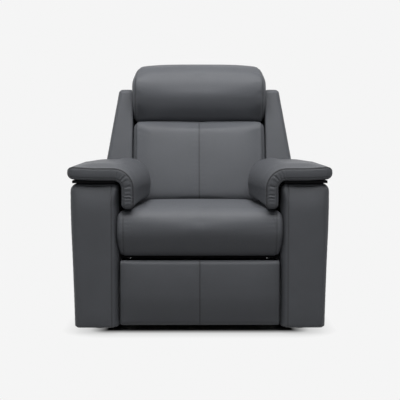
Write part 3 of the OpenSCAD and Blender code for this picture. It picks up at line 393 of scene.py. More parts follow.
def ranged(tree, value, low, high, to_low, to_high):
    """Value carried from one range to another."""
    node = add_node(tree, "MapRange", {"From Min": low, "From Max": high, "To Min": to_low,
                                       "To Max": to_high})
    tree.links.new(value, node.inputs["Value"])
    return node.outputs["Result"]


def tinted(tree, share, below, above):
    """A colour laid by a share over another, which is a colour or a node's output."""
    node = add_node(tree, "Mix", {7: (*above, 1)}, data_type="RGBA")
    if isinstance(below, bpy.types.NodeSocket):
        tree.links.new(below, node.inputs[6])
    else:
        node.inputs[6].default_value = (*below, 1)
    tree.links.new(share, node.inputs["Factor"])
    return node.outputs[2]


def joined(tree, operation, first, second):
    """Result of an operation on two values."""
    node = add_node(tree, "Math", operation=operation)
    tree.links.new(first, node.inputs[0])
    tree.links.new(second, node.inputs[1])
    return node.outputs[0]


def seen_rays(tree):
    """1 for rays from the camera or off gloss and through glass, 0 for the rays that light."""
    path = tree.nodes.new("ShaderNodeLightPath")
    value = path.outputs["Is Camera Ray"]
    for name in ("Is Glossy Ray", "Is Transmission Ray"):
        value = joined(tree, "MAXIMUM", value, path.outputs[name])
    return value


def bumped(tree, shader, heights):
    """Chain of bumps on a shader: each (height, distance, strength) rides on the one before."""
    last = None
    for height, distance, strength in heights:
        bump = add_node(tree, "Bump", {"Strength": strength, "Distance": distance})
        tree.links.new(height, bump.inputs["Height"])
        if last:
            tree.links.new(last, bump.inputs["Normal"])
        last = bump.outputs["Normal"]
    tree.links.new(last, shader.inputs["Normal"])


def leather(name, painted_light_tone=1.0, warmth=0.0):
    """Pigmented leather: pebbles from a cell pattern, creases from noise, a mottled colour with
    painted shade in the grain's valleys, the stitching's colour with painted seam shade along
    the seams, a soft gloss, and an overall factor that paints light and shade by making the
    colours lighter or darker."""
    settings = bpy.context.scene.recliner_leather
    # Painted light and shade: every colour is made lighter or darker by this factor for each copy
    base = np.array(settings.base) * painted_light_tone * np.array([1 + warmth, 1, 1 - warmth])
    material, tree, shader, where = new_finish(name)
    cells = add_node(tree, "TexVoronoi", {"Scale": 1 / settings.grain, "Randomness": 0.85},
                     feature="DISTANCE_TO_EDGE")
    wander = add_node(tree, "VectorMath", operation="MULTIPLY_ADD")
    blur = add_node(tree, "TexNoise", {"Scale": 0.35 / settings.grain, "Detail": 2.0})
    tree.links.new(where, blur.inputs["Vector"])
    tree.links.new(blur.outputs["Color"], wander.inputs[0])
    wander.inputs[1].default_value = (settings.grain,) * 3
    tree.links.new(where, wander.inputs[2])
    tree.links.new(wander.outputs[0], cells.inputs["Vector"])
    pebble = ranged(tree, cells.outputs["Distance"], 0.0, 0.22, 0.0, 1.0)
    crease = noise(tree, where, 70.0, 5.0, 0.62)
    cloud = noise(tree, where, 9.0, 3.0)
    fine = noise(tree, where, 420.0, 3.0)
    mottle = tinted(tree, cloud, base * 0.90, base * 1.10)
    # Painted shade in the grain's hollows: the pebbles' valleys are darkened
    valley = ranged(tree, pebble, 0.0, 1.0, 0.22, 0.0)
    shaded = tinted(tree, valley, mottle, base * 0.45)
    # Stitching mark from the mesh: the stitching's colour plus painted shade in the seams
    thread = add_node(tree, "Attribute", attribute_name="thread")
    with_thread_and_seam_shade = tinted(tree, thread.outputs["Fac"], shaded, np.array(settings.seam) * painted_light_tone)
    tree.links.new(with_thread_and_seam_shade, shader.inputs["Base Color"])
    gloss = ranged(tree, fine, 0.3, 0.7, settings.roughness - 0.05, settings.roughness + 0.07)
    tree.links.new(gloss, shader.inputs["Roughness"])
    shader.inputs["Specular IOR Level"].default_value = 0.24
    bumped(tree, shader, [(crease, 2.2 * MM, 0.16), (pebble, 0.16 * MM, 0.7),
                          (fine, 0.12 * MM, 0.35)])
    return material


def plain_finish(name, colour, roughness, metallic=0.0, speckle=0.08, scale=60.0, rough_by=0.08,
                 bump=0.05, stretch=None, specular=0.5):
    """Paint, plastic or metal: a colour that wanders by speckle, a roughness that wanders with
    it, and a fine bump. With stretch the pattern is drawn out, as on brushed metal."""
    material, tree, shader, where = new_finish(name)
    if stretch:
        drawn = add_node(tree, "Mapping", {"Scale": stretch})
        tree.links.new(where, drawn.inputs["Vector"])
        where = drawn.outputs["Vector"]
    colour = np.array(colour)
    cloud = noise(tree, where, scale, 4.0)
    paler = np.minimum(colour * (1 + speckle), 1)
    tree.links.new(tinted(tree, cloud, colour * (1 - speckle), paler), shader.inputs["Base Color"])
    fine = noise(tree, where, scale * 9, 3.0)
    tree.links.new(ranged(tree, fine, 0.25, 0.75, roughness - rough_by, roughness + rough_by),
                   shader.inputs["Roughness"])
    shader.inputs["Metallic"].default_value = metallic
    shader.inputs["Specular IOR Level"].default_value = specular
    bumped(tree, shader, [(fine, 0.3 * MM, bump)])
    return material


def wood(name, pale, dark, ring_scale, ply=False):
    """Sawn timber: growth rings from a wave that noise bends, fine fibres drawn out along the
    grain, and for plywood the layers' edges as well."""
    material, tree, shader, where = new_finish(name)
    turn = add_node(tree, "Mapping", {"Rotation": (0.12, 0.05, 0.03)})
    tree.links.new(where, turn.inputs["Vector"])
    rings = add_node(tree, "TexWave", {"Scale": ring_scale, "Distortion": 7.0, "Detail": 3.0,
                                       "Detail Scale": 1.4}, wave_type="BANDS",
                     bands_direction="Y" if ply else "DIAGONAL")
    tree.links.new(turn.outputs["Vector"], rings.inputs["Vector"])
    drawn = add_node(tree, "Mapping", {"Scale": (30.0, 900.0, 900.0)})
    tree.links.new(where, drawn.inputs["Vector"])
    fibre = noise(tree, drawn.outputs["Vector"], 1.0, 4.0, 0.7)
    grain = tinted(tree, rings.outputs["Fac"], pale, dark)
    worn = ranged(tree, fibre, 0.35, 0.75, 0.0, 0.45)
    tree.links.new(tinted(tree, worn, grain, np.array(dark) * 0.8), shader.inputs["Base Color"])
    tree.links.new(ranged(tree, fibre, 0.3, 0.7, 0.55, 0.75), shader.inputs["Roughness"])
    bumped(tree, shader, [(fibre, 0.4 * MM, 0.35)])
    return material


# Where things are

# Sign along X and word of each side
SIDES = ((1, "right"), (-1, "left"))
# Lean of the upright back, its pivot in a side plane, and the face of its board
LEAN = math.radians(13.5)
BACK_PIVOT = np.array([190, 370]) * MM
BOARD_FACE = 9.7 * MM
# Width of a wing's top, and how far its foot reaches below the plain solid
WING_TOP = 53 * MM
WING_DROP = 20 * MM
# Half of an arm pad's thickness, the rounding of its edges and the radius of its bend
PAD_HALF = 24 * MM
PAD_EDGE = 9 * MM
PAD_BEND = 56 * MM
# Length over which an arm pad rounds off at its nose and its lower end, its crown on top, its
# belly inside the arm, and the step between the gathers of its front band
PAD_NOSE = 24 * MM
PAD_TAIL = 20 * MM
PAD_CROWN = 17 * MM
PAD_BELLY = 52 * MM
GATHER_STEP = 15.5 * MM
# Thickness of an arm's cover, the radius of its ends and hem, and the width of its inner band
ARM_WALL = 11 * MM
ARM_END = 22 * MM
HEM_RADIUS = 9 * MM
INNER_BAND = 28 * MM
# Where an arm's top starts to fall behind the chair's middle, the length of the fall, its drop
FALL_START = 185 * MM
FALL_RUN = 245 * MM
FALL = 112 * MM
# How far the control bezel's flange laps over the edge of its opening in the leather
BEZEL_LAP = 3 * MM
# Adds to the gap of a seam where it isn't sewn, so that nothing is pressed in there
UNSEWN = 40 * MM


def on_back(points):
    """Points of the back's own frame (x, depth, height up the back) carried to the chair's
    frame: turned by the lean about the back pivot."""
    c, s = math.cos(LEAN), math.sin(LEAN)
    x, y, z = np.moveaxis(points, -1, 0)
    return np.stack([x, BACK_PIVOT[0] + y * c + z * s, BACK_PIVOT[1] - y * s + z * c], axis=-1)


def off_back(points):
    """Points of the chair's frame carried to the back's own frame."""
    c, s = math.cos(LEAN), math.sin(LEAN)
    x, y, z = np.moveaxis(points - np.array([0, *BACK_PIVOT]), -1, 0)
    return np.stack([x, y * c - z * s, y * s + z * c], axis=-1)


def finished(mesh, name):
    """Gives a mesh one of the finishes made earlier."""
    mesh.materials.clear()
    mesh.materials.append(bpy.data.materials[name])


def dressed(piece, body, node, finish):
    """Gives a padded piece its finish and its body, and hides the plain solid it stands for."""
    finished(piece.data, finish)
    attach(piece, body)
    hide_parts(node)


def pressed(piece, seams):
    """Presses sewn seams into a piece along its normals: each is (gap, along, pucker, share of
    the usual width, share of the usual depth), and the deepest one counts where they cross.
    Marks where the stitching runs, with the shade painted in its seam."""
    cushions = bpy.context.scene.recliner_cushions
    points, normals = of_vertices(piece.data), of_vertices(piece.data, "normal")
    pull = np.zeros(len(points))
    thread = np.zeros(len(points))
    for k, (gap, along, pucker, wide, deep) in enumerate(seams):
        by, mark = sewn(gap, along, cushions.seam_width * wide, cushions.seam_depth * deep, pucker,
                        seed=1.7 * k)
        pull, thread = np.maximum(pull, by), np.maximum(thread, mark)
    put_places(piece, points - normals * pull[:, None])
    # Stores the stitching mark, which also paints shade along the seams
    put_shade(piece, "thread", thread)


def swept_across(ring, hub, half, radius, bulge, spacing):
    """Grid of a section in a side plane carried across the chair, with rounded ends."""
    places, insets = end_profile(half, radius, bulge, spacing)
    side = swept(ring, hub, insets, radius)
    x = np.broadcast_to(places[:, None, None], side.shape[:2] + (1,))
    return np.concatenate([x, side], axis=2)


def crowned(share, power=2.0):
    """Crown of a soft face, 1 at its middle and 0 at its edge: 1 - |share| ^ power."""
    return 1 - np.minimum(np.abs(share), 1) ** power


# Cushions

# Room that the cloth's swell takes up, and the even steps that a cushion is remeshed to
SLACK = 6 * MM
VOXEL = 6 * MM
# Room between a cushion and the clips or the board that it lies on
SEAT_ROOM = 0.3 * MM
# Place of the sewn edges, in from a cushion's ends, and how they are held while it fills
EDGE_SEAM = 15 * MM
HOLD_WIDTH = 9 * MM
STEP_ALONG = 8 * MM


def beside(points, place):
    """Distance of points from the two upright planes x = place and x = -place."""
    return np.abs(np.abs(points[:, 0]) - place)


def end_hold(points, place):
    """Hold of a cushion's sewn edges while it fills."""
    return 0.9 * near(beside(points, place), HOLD_WIDTH)


class RECLINER_OT_seat_cushion(bpy.types.Operator):
    """Makes the seat cushion: a section with a rolled front carried across the seat, filled
    as cloth under pressure, with a sewn edge near each end"""

    bl_idname = "recliner.seat_cushion"
    bl_label = "Seat cushion"

    def execute(self, context):
        low, high = corners("seat_cushion")
        under = corners("spring_clips")[1][2] + SEAT_ROOM
        half = high[0] + 1.5 * MM
        front, rear, lip_rear = low[1] + SLACK * 0.8, high[1] - 2 * MM, low[1] + 66 * MM
        foot, top = low[2] - 7 * MM, high[2] - 8 * MM - SLACK
        ring = rounded_outline(
            [(front + 49 * MM, foot), (lip_rear, foot), (lip_rear, under), (rear, under),
             (rear, top + 12 * MM), (front + 9 * MM, top + 6 * MM), (front, foot + 90 * MM)],
            [14 * MM, 5 * MM, 5 * MM, 26 * MM, 30 * MM, 50 * MM, 84 * MM], 320)
        ring = softened(ring, 14)
        hub = np.array([front + 60 * MM, (under + top) / 2])
        grid = swept_across(ring, hub, half, 18 * MM, 2 * MM, STEP_ALONG)
        lift = smooth_step(grid[..., 2], under + 30 * MM, top)
        grid[..., 2] += 5 * MM * lift * crowned(grid[..., 0] / half, 8.0)
        piece = ended_skin("Seat_cushion_leather", grid)
        filled(piece, 8 * MM, lambda p: np.maximum(
            1 - smooth_step(p[:, 2], under, under + 25 * MM),
            end_hold(p, half - 14 * MM)))
        p = of_vertices(piece.data)
        p[:, 0] = np.clip(p[:, 0], -half, half)
        p[:, 0] *= 1 + 12 * MM / half * smooth_step(-p[:, 1], 396 * MM, 430 * MM)
        p[:, 1] = np.maximum(p[:, 1], low[1] - 3 * MM)
        above_pads = np.clip(p[:, 2] - corners("arm_pad_right")[0][2], 0, None)
        p[:, 2] -= smooth_step(np.abs(p[:, 0]), 200 * MM, 240 * MM) * above_pads
        put_places(piece, p)
        edge = beside(p, half - EDGE_SEAM)
        pressed(piece, [(edge, p[:, 1] + p[:, 2], 0.8 * MM, 1, 1)])
        dressed(piece, "base", "seat_cushion", "Leather cushions")
        return {"FINISHED"}


class RECLINER_OT_back_cushion(bpy.types.Operator):
    """Makes the back cushion: a crowned panel in the back's frame, filled as cloth, with a
    sewn seam down its middle that draws the face into two lobes"""

    bl_idname = "recliner.back_cushion"
    bl_label = "Back cushion"

    def execute(self, context):
        half = corners("back_cushion")[1][0] + 3 * MM
        face, rear = -92 * MM + SLACK, BOARD_FACE
        low, high = 62 * MM, 449 * MM
        ring, hub = rounded_box((face, low), (rear, high), [40 * MM] + 3 * [34 * MM], 240)
        ring = softened(ring, 8)
        grid = swept_across(ring, hub, half, 34 * MM, 3 * MM, STEP_ALONG)
        middle = crowned((grid[..., 2] - hub[1]) / (high - hub[1])) * crowned(grid[..., 0] / half)
        grid[..., 1] -= 15 * MM * middle * smooth_step(-grid[..., 1], 0, -face)
        piece = ended_skin("Back_cushion_leather", on_back(grid))
        filled(piece, 9 * MM, lambda p: np.maximum(
            smooth_step(off_back(p)[:, 1], rear - 30 * MM, rear - 4 * MM),
            end_hold(p, half - 14 * MM)))
        p = off_back(of_vertices(piece.data))
        limit = half + 1 * MM
        p[:, 0] = np.clip(p[:, 0], -limit, limit)
        ahead = smooth_step(-p[:, 1], 10 * MM, 70 * MM)
        p[:, 1] += 3 * MM * ahead * near(p[:, 0], 22 * MM)
        p[:, 1] = np.minimum(p[:, 1], rear)
        put_places(piece, on_back(p))
        edge = beside(p, half - 14 * MM)
        side = UNSEWN * (1 - ahead)
        pressed(piece, [(np.abs(p[:, 0]) + side, p[:, 2], 0.5 * MM, 1, 1),
                        (edge, p[:, 1] + p[:, 2], 0.7 * MM, 1, 1)])
        dressed(piece, "back", "back_cushion", "Leather cushions")
        return {"FINISHED"}


class RECLINER_OT_head_pillow(bpy.types.Operator):
    """Makes the head pillow: a full section that folds over the back's top, narrower towards
    its upper edge, filled as cloth, with boxed ends"""

    bl_idname = "recliner.head_pillow"
    bl_label = "Head pillow"

    def execute(self, context):
        half = corners("head_pillow")[1][0] - 5 * MM
        face, rear, over = -142 * MM + SLACK, BOARD_FACE, 54 * MM - SLACK * 0.5
        low, fold, high = 446 * MM, 628.3 * MM, 714 * MM - SLACK * 0.5
        ring = rounded_outline(
            [(face + 98 * MM, low), (rear, low), (rear, fold), (over, fold),
             (over, high - 34 * MM), (rear, high + 4 * MM), (face + 66 * MM, high - 8 * MM),
             (face + 8 * MM, high - 78 * MM), (face, low + 140 * MM),
             (face + 32 * MM, low + 70 * MM)],
            [30 * MM, 20 * MM, 5 * MM, 22 * MM, 30 * MM, 60 * MM, 60 * MM, 80 * MM, 86 * MM,
             110 * MM], 320)
        ring = softened(ring, 16)
        hub = np.array([face / 2, (fold + high) / 2 - 40 * MM])
        grid = swept_across(ring, hub, half, 30 * MM, 3 * MM, STEP_ALONG)
        piece = ended_skin("Head_pillow_leather", on_back(grid))
        filled(piece, 8 * MM, lambda p: np.maximum(
            smooth_step(off_back(p)[:, 1], rear - 26 * MM, rear - 4 * MM)
            * (1 - smooth_step(off_back(p)[:, 2], fold + 4 * MM, fold + 30 * MM)),
            end_hold(p, half - EDGE_SEAM)))
        p = off_back(of_vertices(piece.data))
        up = (p[:, 2] - low) / (high - low)
        p[:, 0] = np.clip(p[:, 0], -half - 4 * MM, half + 4 * MM)
        p[:, 0] *= 1 - 0.07 * smooth_step(up, 0.6, 1.1) - 0.015 * (1 - smooth_step(up, 0.0, 0.3))
        p[:, 2] -= 14 * MM * smooth_step(up, 0.5, 1.0) * (np.abs(p[:, 0]) / half) ** 4
        p[:, 2] -= 7 * MM * (1 - smooth_step(up, 0.0, 0.4)) * crowned(p[:, 0] / half)
        put_places(piece, on_back(p))
        edge = beside(p, (half - EDGE_SEAM) * (1 - 0.07 * smooth_step(up, 0.6, 1.1)))
        pressed(piece, [(edge, p[:, 1] + p[:, 2], 1.3 * MM, 1, 1)])
        dressed(piece, "back", "head_pillow", "Leather cushions")
        return {"FINISHED"}


# Arm pads, wings and panels


def bent_path(points, radius, steps):
    """Path of two straight runs joined by an arc: places, normals to the left of the way, and
    lengths along it, at even steps."""
    a, b, c = (np.array(p, float) for p in points)
    u, v = (b - a) / np.linalg.norm(b - a), (c - b) / np.linalg.norm(c - b)
    turn = math.acos(np.clip(u @ v, -1, 1))
    side = math.copysign(1, u[0] * v[1] - u[1] * v[0])
    reach = radius * math.tan(turn / 2)
    first, bend = np.linalg.norm(b - a) - reach, radius * turn
    total = first + bend + np.linalg.norm(c - b) - reach
    s = np.linspace(0, total, steps)
    angle = math.atan2(u[1], u[0]) + side * np.clip((s - first) / radius, 0, turn)
    way = np.column_stack([np.cos(angle), np.sin(angle)])
    hub = a + u * first + side * radius * np.array([-u[1], u[0]])
    left = np.column_stack([-way[:, 1], way[:, 0]])
    on_arc = hub - side * radius * left
    on_first = a + u * s[:, None]
    on_last = c - v * (total - s)[:, None]
    places = np.where((s < first)[:, None], on_first,
                      np.where((s < first + bend)[:, None], on_arc, on_last))
    return places, left, s, (first, first + bend, total)


def slab_outline(half, length, radius, spacing):
    """Outline of a slab's cross section, even about its middle layer: (layer, depth, zone)
    with the layer from -1 to 1, the depth from 0 at the front to length, and the zone as the
    length of the way round from the upper front edge."""
    arc = np.linspace(0, math.pi / 2, 11)
    front = np.linspace(-half + radius, half - radius, int(2 * (half - radius) / (2 * MM)) + 2)
    run = np.linspace(radius, length - radius, int(length / spacing))
    bow = radius * (1 - np.cos(arc))
    layer = np.concatenate([
        front, half - radius + radius * np.sin(arc[1:]), np.full(len(run) - 2, half),
        half - radius * (1 - np.cos(arc)), front[::-1][1:-1],
        -half + radius * (1 - np.cos(arc[::-1])), np.full(len(run) - 2, -half),
        -half + radius * (1 - np.sin(arc[:0:-1]))])
    depth = np.concatenate([
        np.zeros(len(front)), bow[1:], run[1:-1], length - radius + radius * np.sin(arc),
        np.full(len(front) - 2, length), length - radius + radius * np.sin(arc[::-1]),
        run[::-1][1:-1], bow[:0:-1]])
    step = np.hypot(np.diff(layer, append=layer[:1]), np.diff(depth, append=depth[:1]))
    way = np.concatenate([[0], np.cumsum(step)[:-1]])
    edge = way[np.argmin(np.hypot(layer - half, depth))]
    return layer / half, depth, way - edge


@contextmanager
def opened(piece):
    """A piece's mesh, opened for bmesh's tools and put back into the piece after them."""
    mesh = bmesh.new()
    mesh.from_mesh(piece.data)
    yield mesh
    mesh.to_mesh(piece.data)
    mesh.free()
    piece.data.update()


def merged(piece, distance=0.02 * MM):
    """Merges the doubles of a piece and turns its faces outwards."""
    with opened(piece) as mesh:
        bmesh.ops.remove_doubles(mesh, verts=mesh.verts, dist=distance)
        bmesh.ops.dissolve_degenerate(mesh, edges=mesh.edges, dist=distance)
        bmesh.ops.recalc_face_normals(mesh, faces=mesh.faces)


def pad_relief(cushions, s, v, depth, way, thick, bend, total):
    """Relief of an arm pad's skin, and the mark of its stitching with shade painted along the
    piping and the lower seam: piping at the front band's upper edge with a groove on both
    sides, a seam near its lower edge, a swell between them, gathers along the band from where
    it bends, and puckers behind the piping."""
    piping = cushions.piping
    ridge = np.sqrt(np.clip(piping**2 - way**2, 0, None))
    ridge -= 1.1 * MM * near(np.abs(way) - piping - 1.2 * MM, 1.2 * MM)
    fore = np.where(depth < PAD_EDGE, 1.0, 0.0)
    lower = np.abs(way + 2 * PAD_HALF - 11 * MM)
    seam = 1.6 * MM * near(lower, 1.8 * MM) * fore
    wander = s + 4.4 * MM * np.sin(s * 61 + 0.6) - 7 * MM * v
    crease = (wander - bend + GATHER_STEP / 2) % GATHER_STEP - GATHER_STEP / 2
    strong = 0.6 + 0.4 * np.sin(s * 173 + 1.1)
    gather = strong * (near(crease + 3 * MM * np.sin(4 * v), 3.8 * MM) - 0.3)
    where = smooth_step(s, bend - 4 * MM, bend + 22 * MM)
    where = where * (1 - smooth_step(s, total - 22 * MM, total - 6 * MM))
    band = near(np.clip(depth - PAD_EDGE, 0, None), 14 * MM) * near(v - 0.05, 0.55)
    swell = 3.0 * MM * np.clip(1 - v**2, 0, 1) * fore
    lift = (ridge - seam + swell) * thick - cushions.gathers * gather * where * band
    pucker = np.sin(np.pi * s / (13 * MM) + np.sin(s * 210)) ** 2
    lift -= 0.9 * MM * pucker * near(np.clip(way, 0, None) - 7 * MM, 9 * MM) * (way > 2 * MM)
    # Stitching mark along the piping and the lower seam, which also paints shade there
    thread = np.maximum(near(way, 4.2 * MM), near(lower, 1.4 * MM) * fore) * thick
    return lift, thread


def arm_pad(cushions, side, name):
    """Overstuffed pad: a slab carried from its nose over the arm and down inside it. Its layer
    v and depth y are the slab's cross section, so its front band, the piping at the band's
    upper edge and the gathers along the band are bands of that section."""
    low, high = corners("arm_pad_right")
    half, length = PAD_HALF, high[1] - low[1]
    floor = corners("pad_board_right")[1][2] + SEAT_ROOM
    wrap_x = corners("mechanism_plate_right")[1][0] - 11 * MM - half
    path, left, s, (bend, down, total) = bent_path(
        [(high[0], floor + half), (wrap_x, floor + half), (wrap_x, low[2] + 1 * MM)], PAD_BEND, 220)
    v, depth, way = slab_outline(half, length, PAD_EDGE, 9 * MM)
    s, v, depth, way = s[:, None], v[None, :], depth[None, :], way[None, :]
    end = np.minimum(np.clip(s / PAD_NOSE, 0, 1), np.clip((total - s) / PAD_TAIL, 0, 1))
    thick = np.sqrt(1 - (1 - end) ** 2)
    falling = smooth_step(s, bend, down)
    back = length - (high[1] - 70 * MM) * falling
    inset = 22 * MM * (1 - thick)
    drawn_in = length - back + 2 * inset
    y = low[1] + inset + depth - drawn_in * smooth_step(depth, 0.12 * length, 0.9 * length)
    aft = np.clip((y - low[1]) / (70 * MM - low[1]), 0, 1)
    over = smooth_step(s, 0, 0.42 * down) * (1 - smooth_step(s, 0.6 * down, 1.2 * down))
    crown = PAD_CROWN * over * smooth_step(y, low[1], low[1] + 90 * MM)
    crown *= 1 - 0.75 * smooth_step(y, high[1] - 60 * MM, high[1])
    belly = PAD_BELLY * aft**1.4 * smooth_step(s, bend * 0.9, down * 1.02)
    hang = 0.45 * down + 0.55 * total
    belly = belly * np.sqrt(1 - np.clip((s - hang) / (total - hang), 0, 1) ** 2.4)
    belly *= np.sqrt(np.clip((low[1] + back - y) / (60 * MM), 0, 1))
    offset = half * v * thick + np.maximum(v, 0) * (crown + belly) * thick
    x = path[:, :1] + left[:, :1] * -offset
    z = path[:, 1:] + left[:, 1:] * -offset
    z = z + 10 * MM * aft * smooth_step(s, down, total) + 5 * MM * (1 - smooth_step(s, 0, 110 * MM))
    grid = np.stack([x, np.broadcast_to(y, x.shape), z], axis=-1)
    normals = grid_normals(grid)
    outward = np.sum(normals * (grid - grid.mean(axis=1, keepdims=True))) > 0
    normals = normals if outward else -normals
    lift, thread = pad_relief(cushions, s, v, depth, way, thick, bend, total)
    grid = grid + normals * lift[..., None]
    grid[..., 0] *= side
    piece = mesh_piece(name, grid.reshape(-1, 3), grid_quads(*grid.shape[:2], True),
                       np.empty((0, 3), int))
    # Stores the stitching mark, which also paints shade along the piping and the seam
    put_shade(piece, "thread", np.broadcast_to(thread, x.shape).ravel())
    merged(piece)
    return piece


class RECLINER_OT_arm_pads(bpy.types.Operator):
    """Makes both arm pads: a thick slab bent over the arm and down inside it, with a piped
    front band that gathers where it bends"""

    bl_idname = "recliner.arm_pads"
    bl_label = "Arm pads"

    def execute(self, context):
        for side, word in SIDES:
            piece = arm_pad(context.scene.recliner_cushions, side, f"Arm_pad_leather_{word}")
            dressed(piece, "base", f"arm_pad_{word}", "Leather arm pads")
        return {"FINISHED"}


class RECLINER_OT_wings(bpy.types.Operator):
    """Makes both wings: level sections from the lower edge to the upper one, each wider at
    its foot, on the lean of the back, with a sewn edge in front"""

    bl_idname = "recliner.wings"
    bl_label = "Wings"

    def execute(self, context):
        for side, word in SIDES:
            low, high = corners("wing_right")
            lean = math.tan(LEAN)
            low -= np.array([0, WING_DROP * lean, WING_DROP])
            places, insets = end_profile((high[2] - low[2]) / 2, 16 * MM, 2 * MM, 7 * MM)
            z = (places + (high[2] + low[2]) / 2)[:, None]
            deep = high[1] - low[1] - (high[2] - low[2]) * lean
            wide = high[0] - low[0] + 9 * MM
            ring, hub = rounded_box((0, 0), (wide, deep), [8 * MM, 20 * MM, 24 * MM, 6 * MM], 150)
            flat = swept(ring, hub, insets, 12 * MM)
            up = (z - low[2]) / (high[2] - low[2])
            narrow = (wide - WING_TOP) * up
            x = flat[..., 0] - narrow * smooth_step(flat[..., 0], 0, wide)
            x = x - 9 * MM * (1 - smooth_step(flat[..., 1], 40 * MM, 80 * MM)) * (
                1 - smooth_step(flat[..., 0], 0, wide / 2))
            y = low[1] + flat[..., 1] + (z - low[2]) * lean
            share = (flat[..., 0] / wide - 0.5) * 2
            y = y - 3 * MM * crowned(share) * (1 - smooth_step(flat[..., 1], 0, deep / 3))
            grid = np.stack([x + low[0], y, np.broadcast_to(z, x.shape)], axis=-1)
            grid[..., 0] *= side
            piece = ended_skin(f"Wing_leather_{word}", grid)
            p = of_vertices(piece.data)
            reach = np.abs(p[:, 0]) - low[0]
            width = wide - (wide - WING_TOP) * (p[:, 2] - low[2]) / (high[2] - low[2])
            ahead = p[:, 1] - low[1] - (p[:, 2] - low[2]) * lean
            edge = np.hypot(ahead - 14 * MM, np.clip(width - 6 * MM - reach, 0, None) * 2)
            pressed(piece, [(edge, p[:, 2], 0.8 * MM, 1, 1)])
            dressed(piece, "back", f"wing_{word}", "Leather wings")
        return {"FINISHED"}


class RECLINER_OT_leg_pad(bpy.types.Operator):
    """Makes the leg rest's pad: a thin crowned panel with rounded edges, a seam down its
    middle and a sewn edge near each end"""

    bl_idname = "recliner.leg_pad"
    bl_label = "Leg rest pad"

    def execute(self, context):
        low, high = corners("leg_pad")
        half, radius = high[0] + 3 * MM, 9 * MM
        face = low[1] + 8 * MM
        ring, hub = rounded_box((face, low[2]), high[1:], [16 * MM, 5 * MM, 5 * MM, 16 * MM], 260)
        grid = swept_across(ring, hub, half, radius, 1 * MM, 4 * MM)
        ahead = smooth_step(-grid[..., 1], -high[1] + 4 * MM, -face)
        up = (grid[..., 2] - hub[1]) / (high[2] - hub[1])
        share = grid[..., 0] / half
        puff = crowned(up, 2.6) * crowned(share, 8.0)
        valley = near(grid[..., 0], 20 * MM)
        grid[..., 1] -= ahead * puff * (12 * MM - 2.5 * MM * valley)
        grid[..., 1] += ahead * 8 * MM * (1 - smooth_step(up, -1.0, 0.0))
        corner_pull = np.abs(share) ** 8 * np.abs(up) ** 4
        grid[..., 2] += 2.5 * MM * corner_pull * np.sign(up) * ahead
        piece = ended_skin("Leg_rest_leather", grid)
        p = of_vertices(piece.data)
        off = 30 * MM * (1 - smooth_step(-p[:, 1], -high[1], -high[1] + 12 * MM))
        edge = beside(p, half - 11 * MM)
        pressed(piece, [(np.abs(p[:, 0]) + off, p[:, 2], 0.3 * MM, 0.8, 1),
                        (edge, p[:, 1] + p[:, 2], 0.3 * MM, 0.8, 0.7)])
        dressed(piece, "leg_rest", "leg_pad", "Leather leg rest")
        return {"FINISHED"}


# Covers


def off_bezel(y, z):
    """Distance of places in a side plane from the control bezel's flange: 0 on it."""
    low, high = corners("control_bezel")
    return np.hypot(np.clip(np.abs(y - (low[1] + high[1]) / 2) - (high[1] - low[1]) / 2, 0, None),
                    np.clip(np.abs(z - (low[2] + high[2]) / 2) - (high[2] - low[2]) / 2, 0, None))


def bezel_cut_out(piece):
    """Cuts the control bezel's opening into the arm's outer side: the faces there are split
    along the opening's four edges, and what lies inside them is taken out."""
    low, high = corners("control_bezel")

    def within(face, grow):
        c = face.calc_center_median()
        return c.x < high[0] and all(low[k] - grow < c[k] < high[k] + grow for k in (1, 2))

    with opened(piece) as mesh:
        for axis in (1, 2):
            for edge in (low[axis] + BEZEL_LAP, high[axis] - BEZEL_LAP):
                faces = [face for face in mesh.faces if within(face, 20 * MM)]
                place, normal = [0, 0, 0], [0, 0, 0]
                place[axis], normal[axis] = edge, 1
                parts = dict.fromkeys(part for f in faces for part in (f, *f.edges, *f.verts))
                bmesh.ops.bisect_plane(mesh, geom=list(parts), plane_co=place, plane_no=normal)
        bmesh.ops.delete(mesh, geom=[face for face in mesh.faces if within(face, -BEZEL_LAP)],
                         context="FACES")


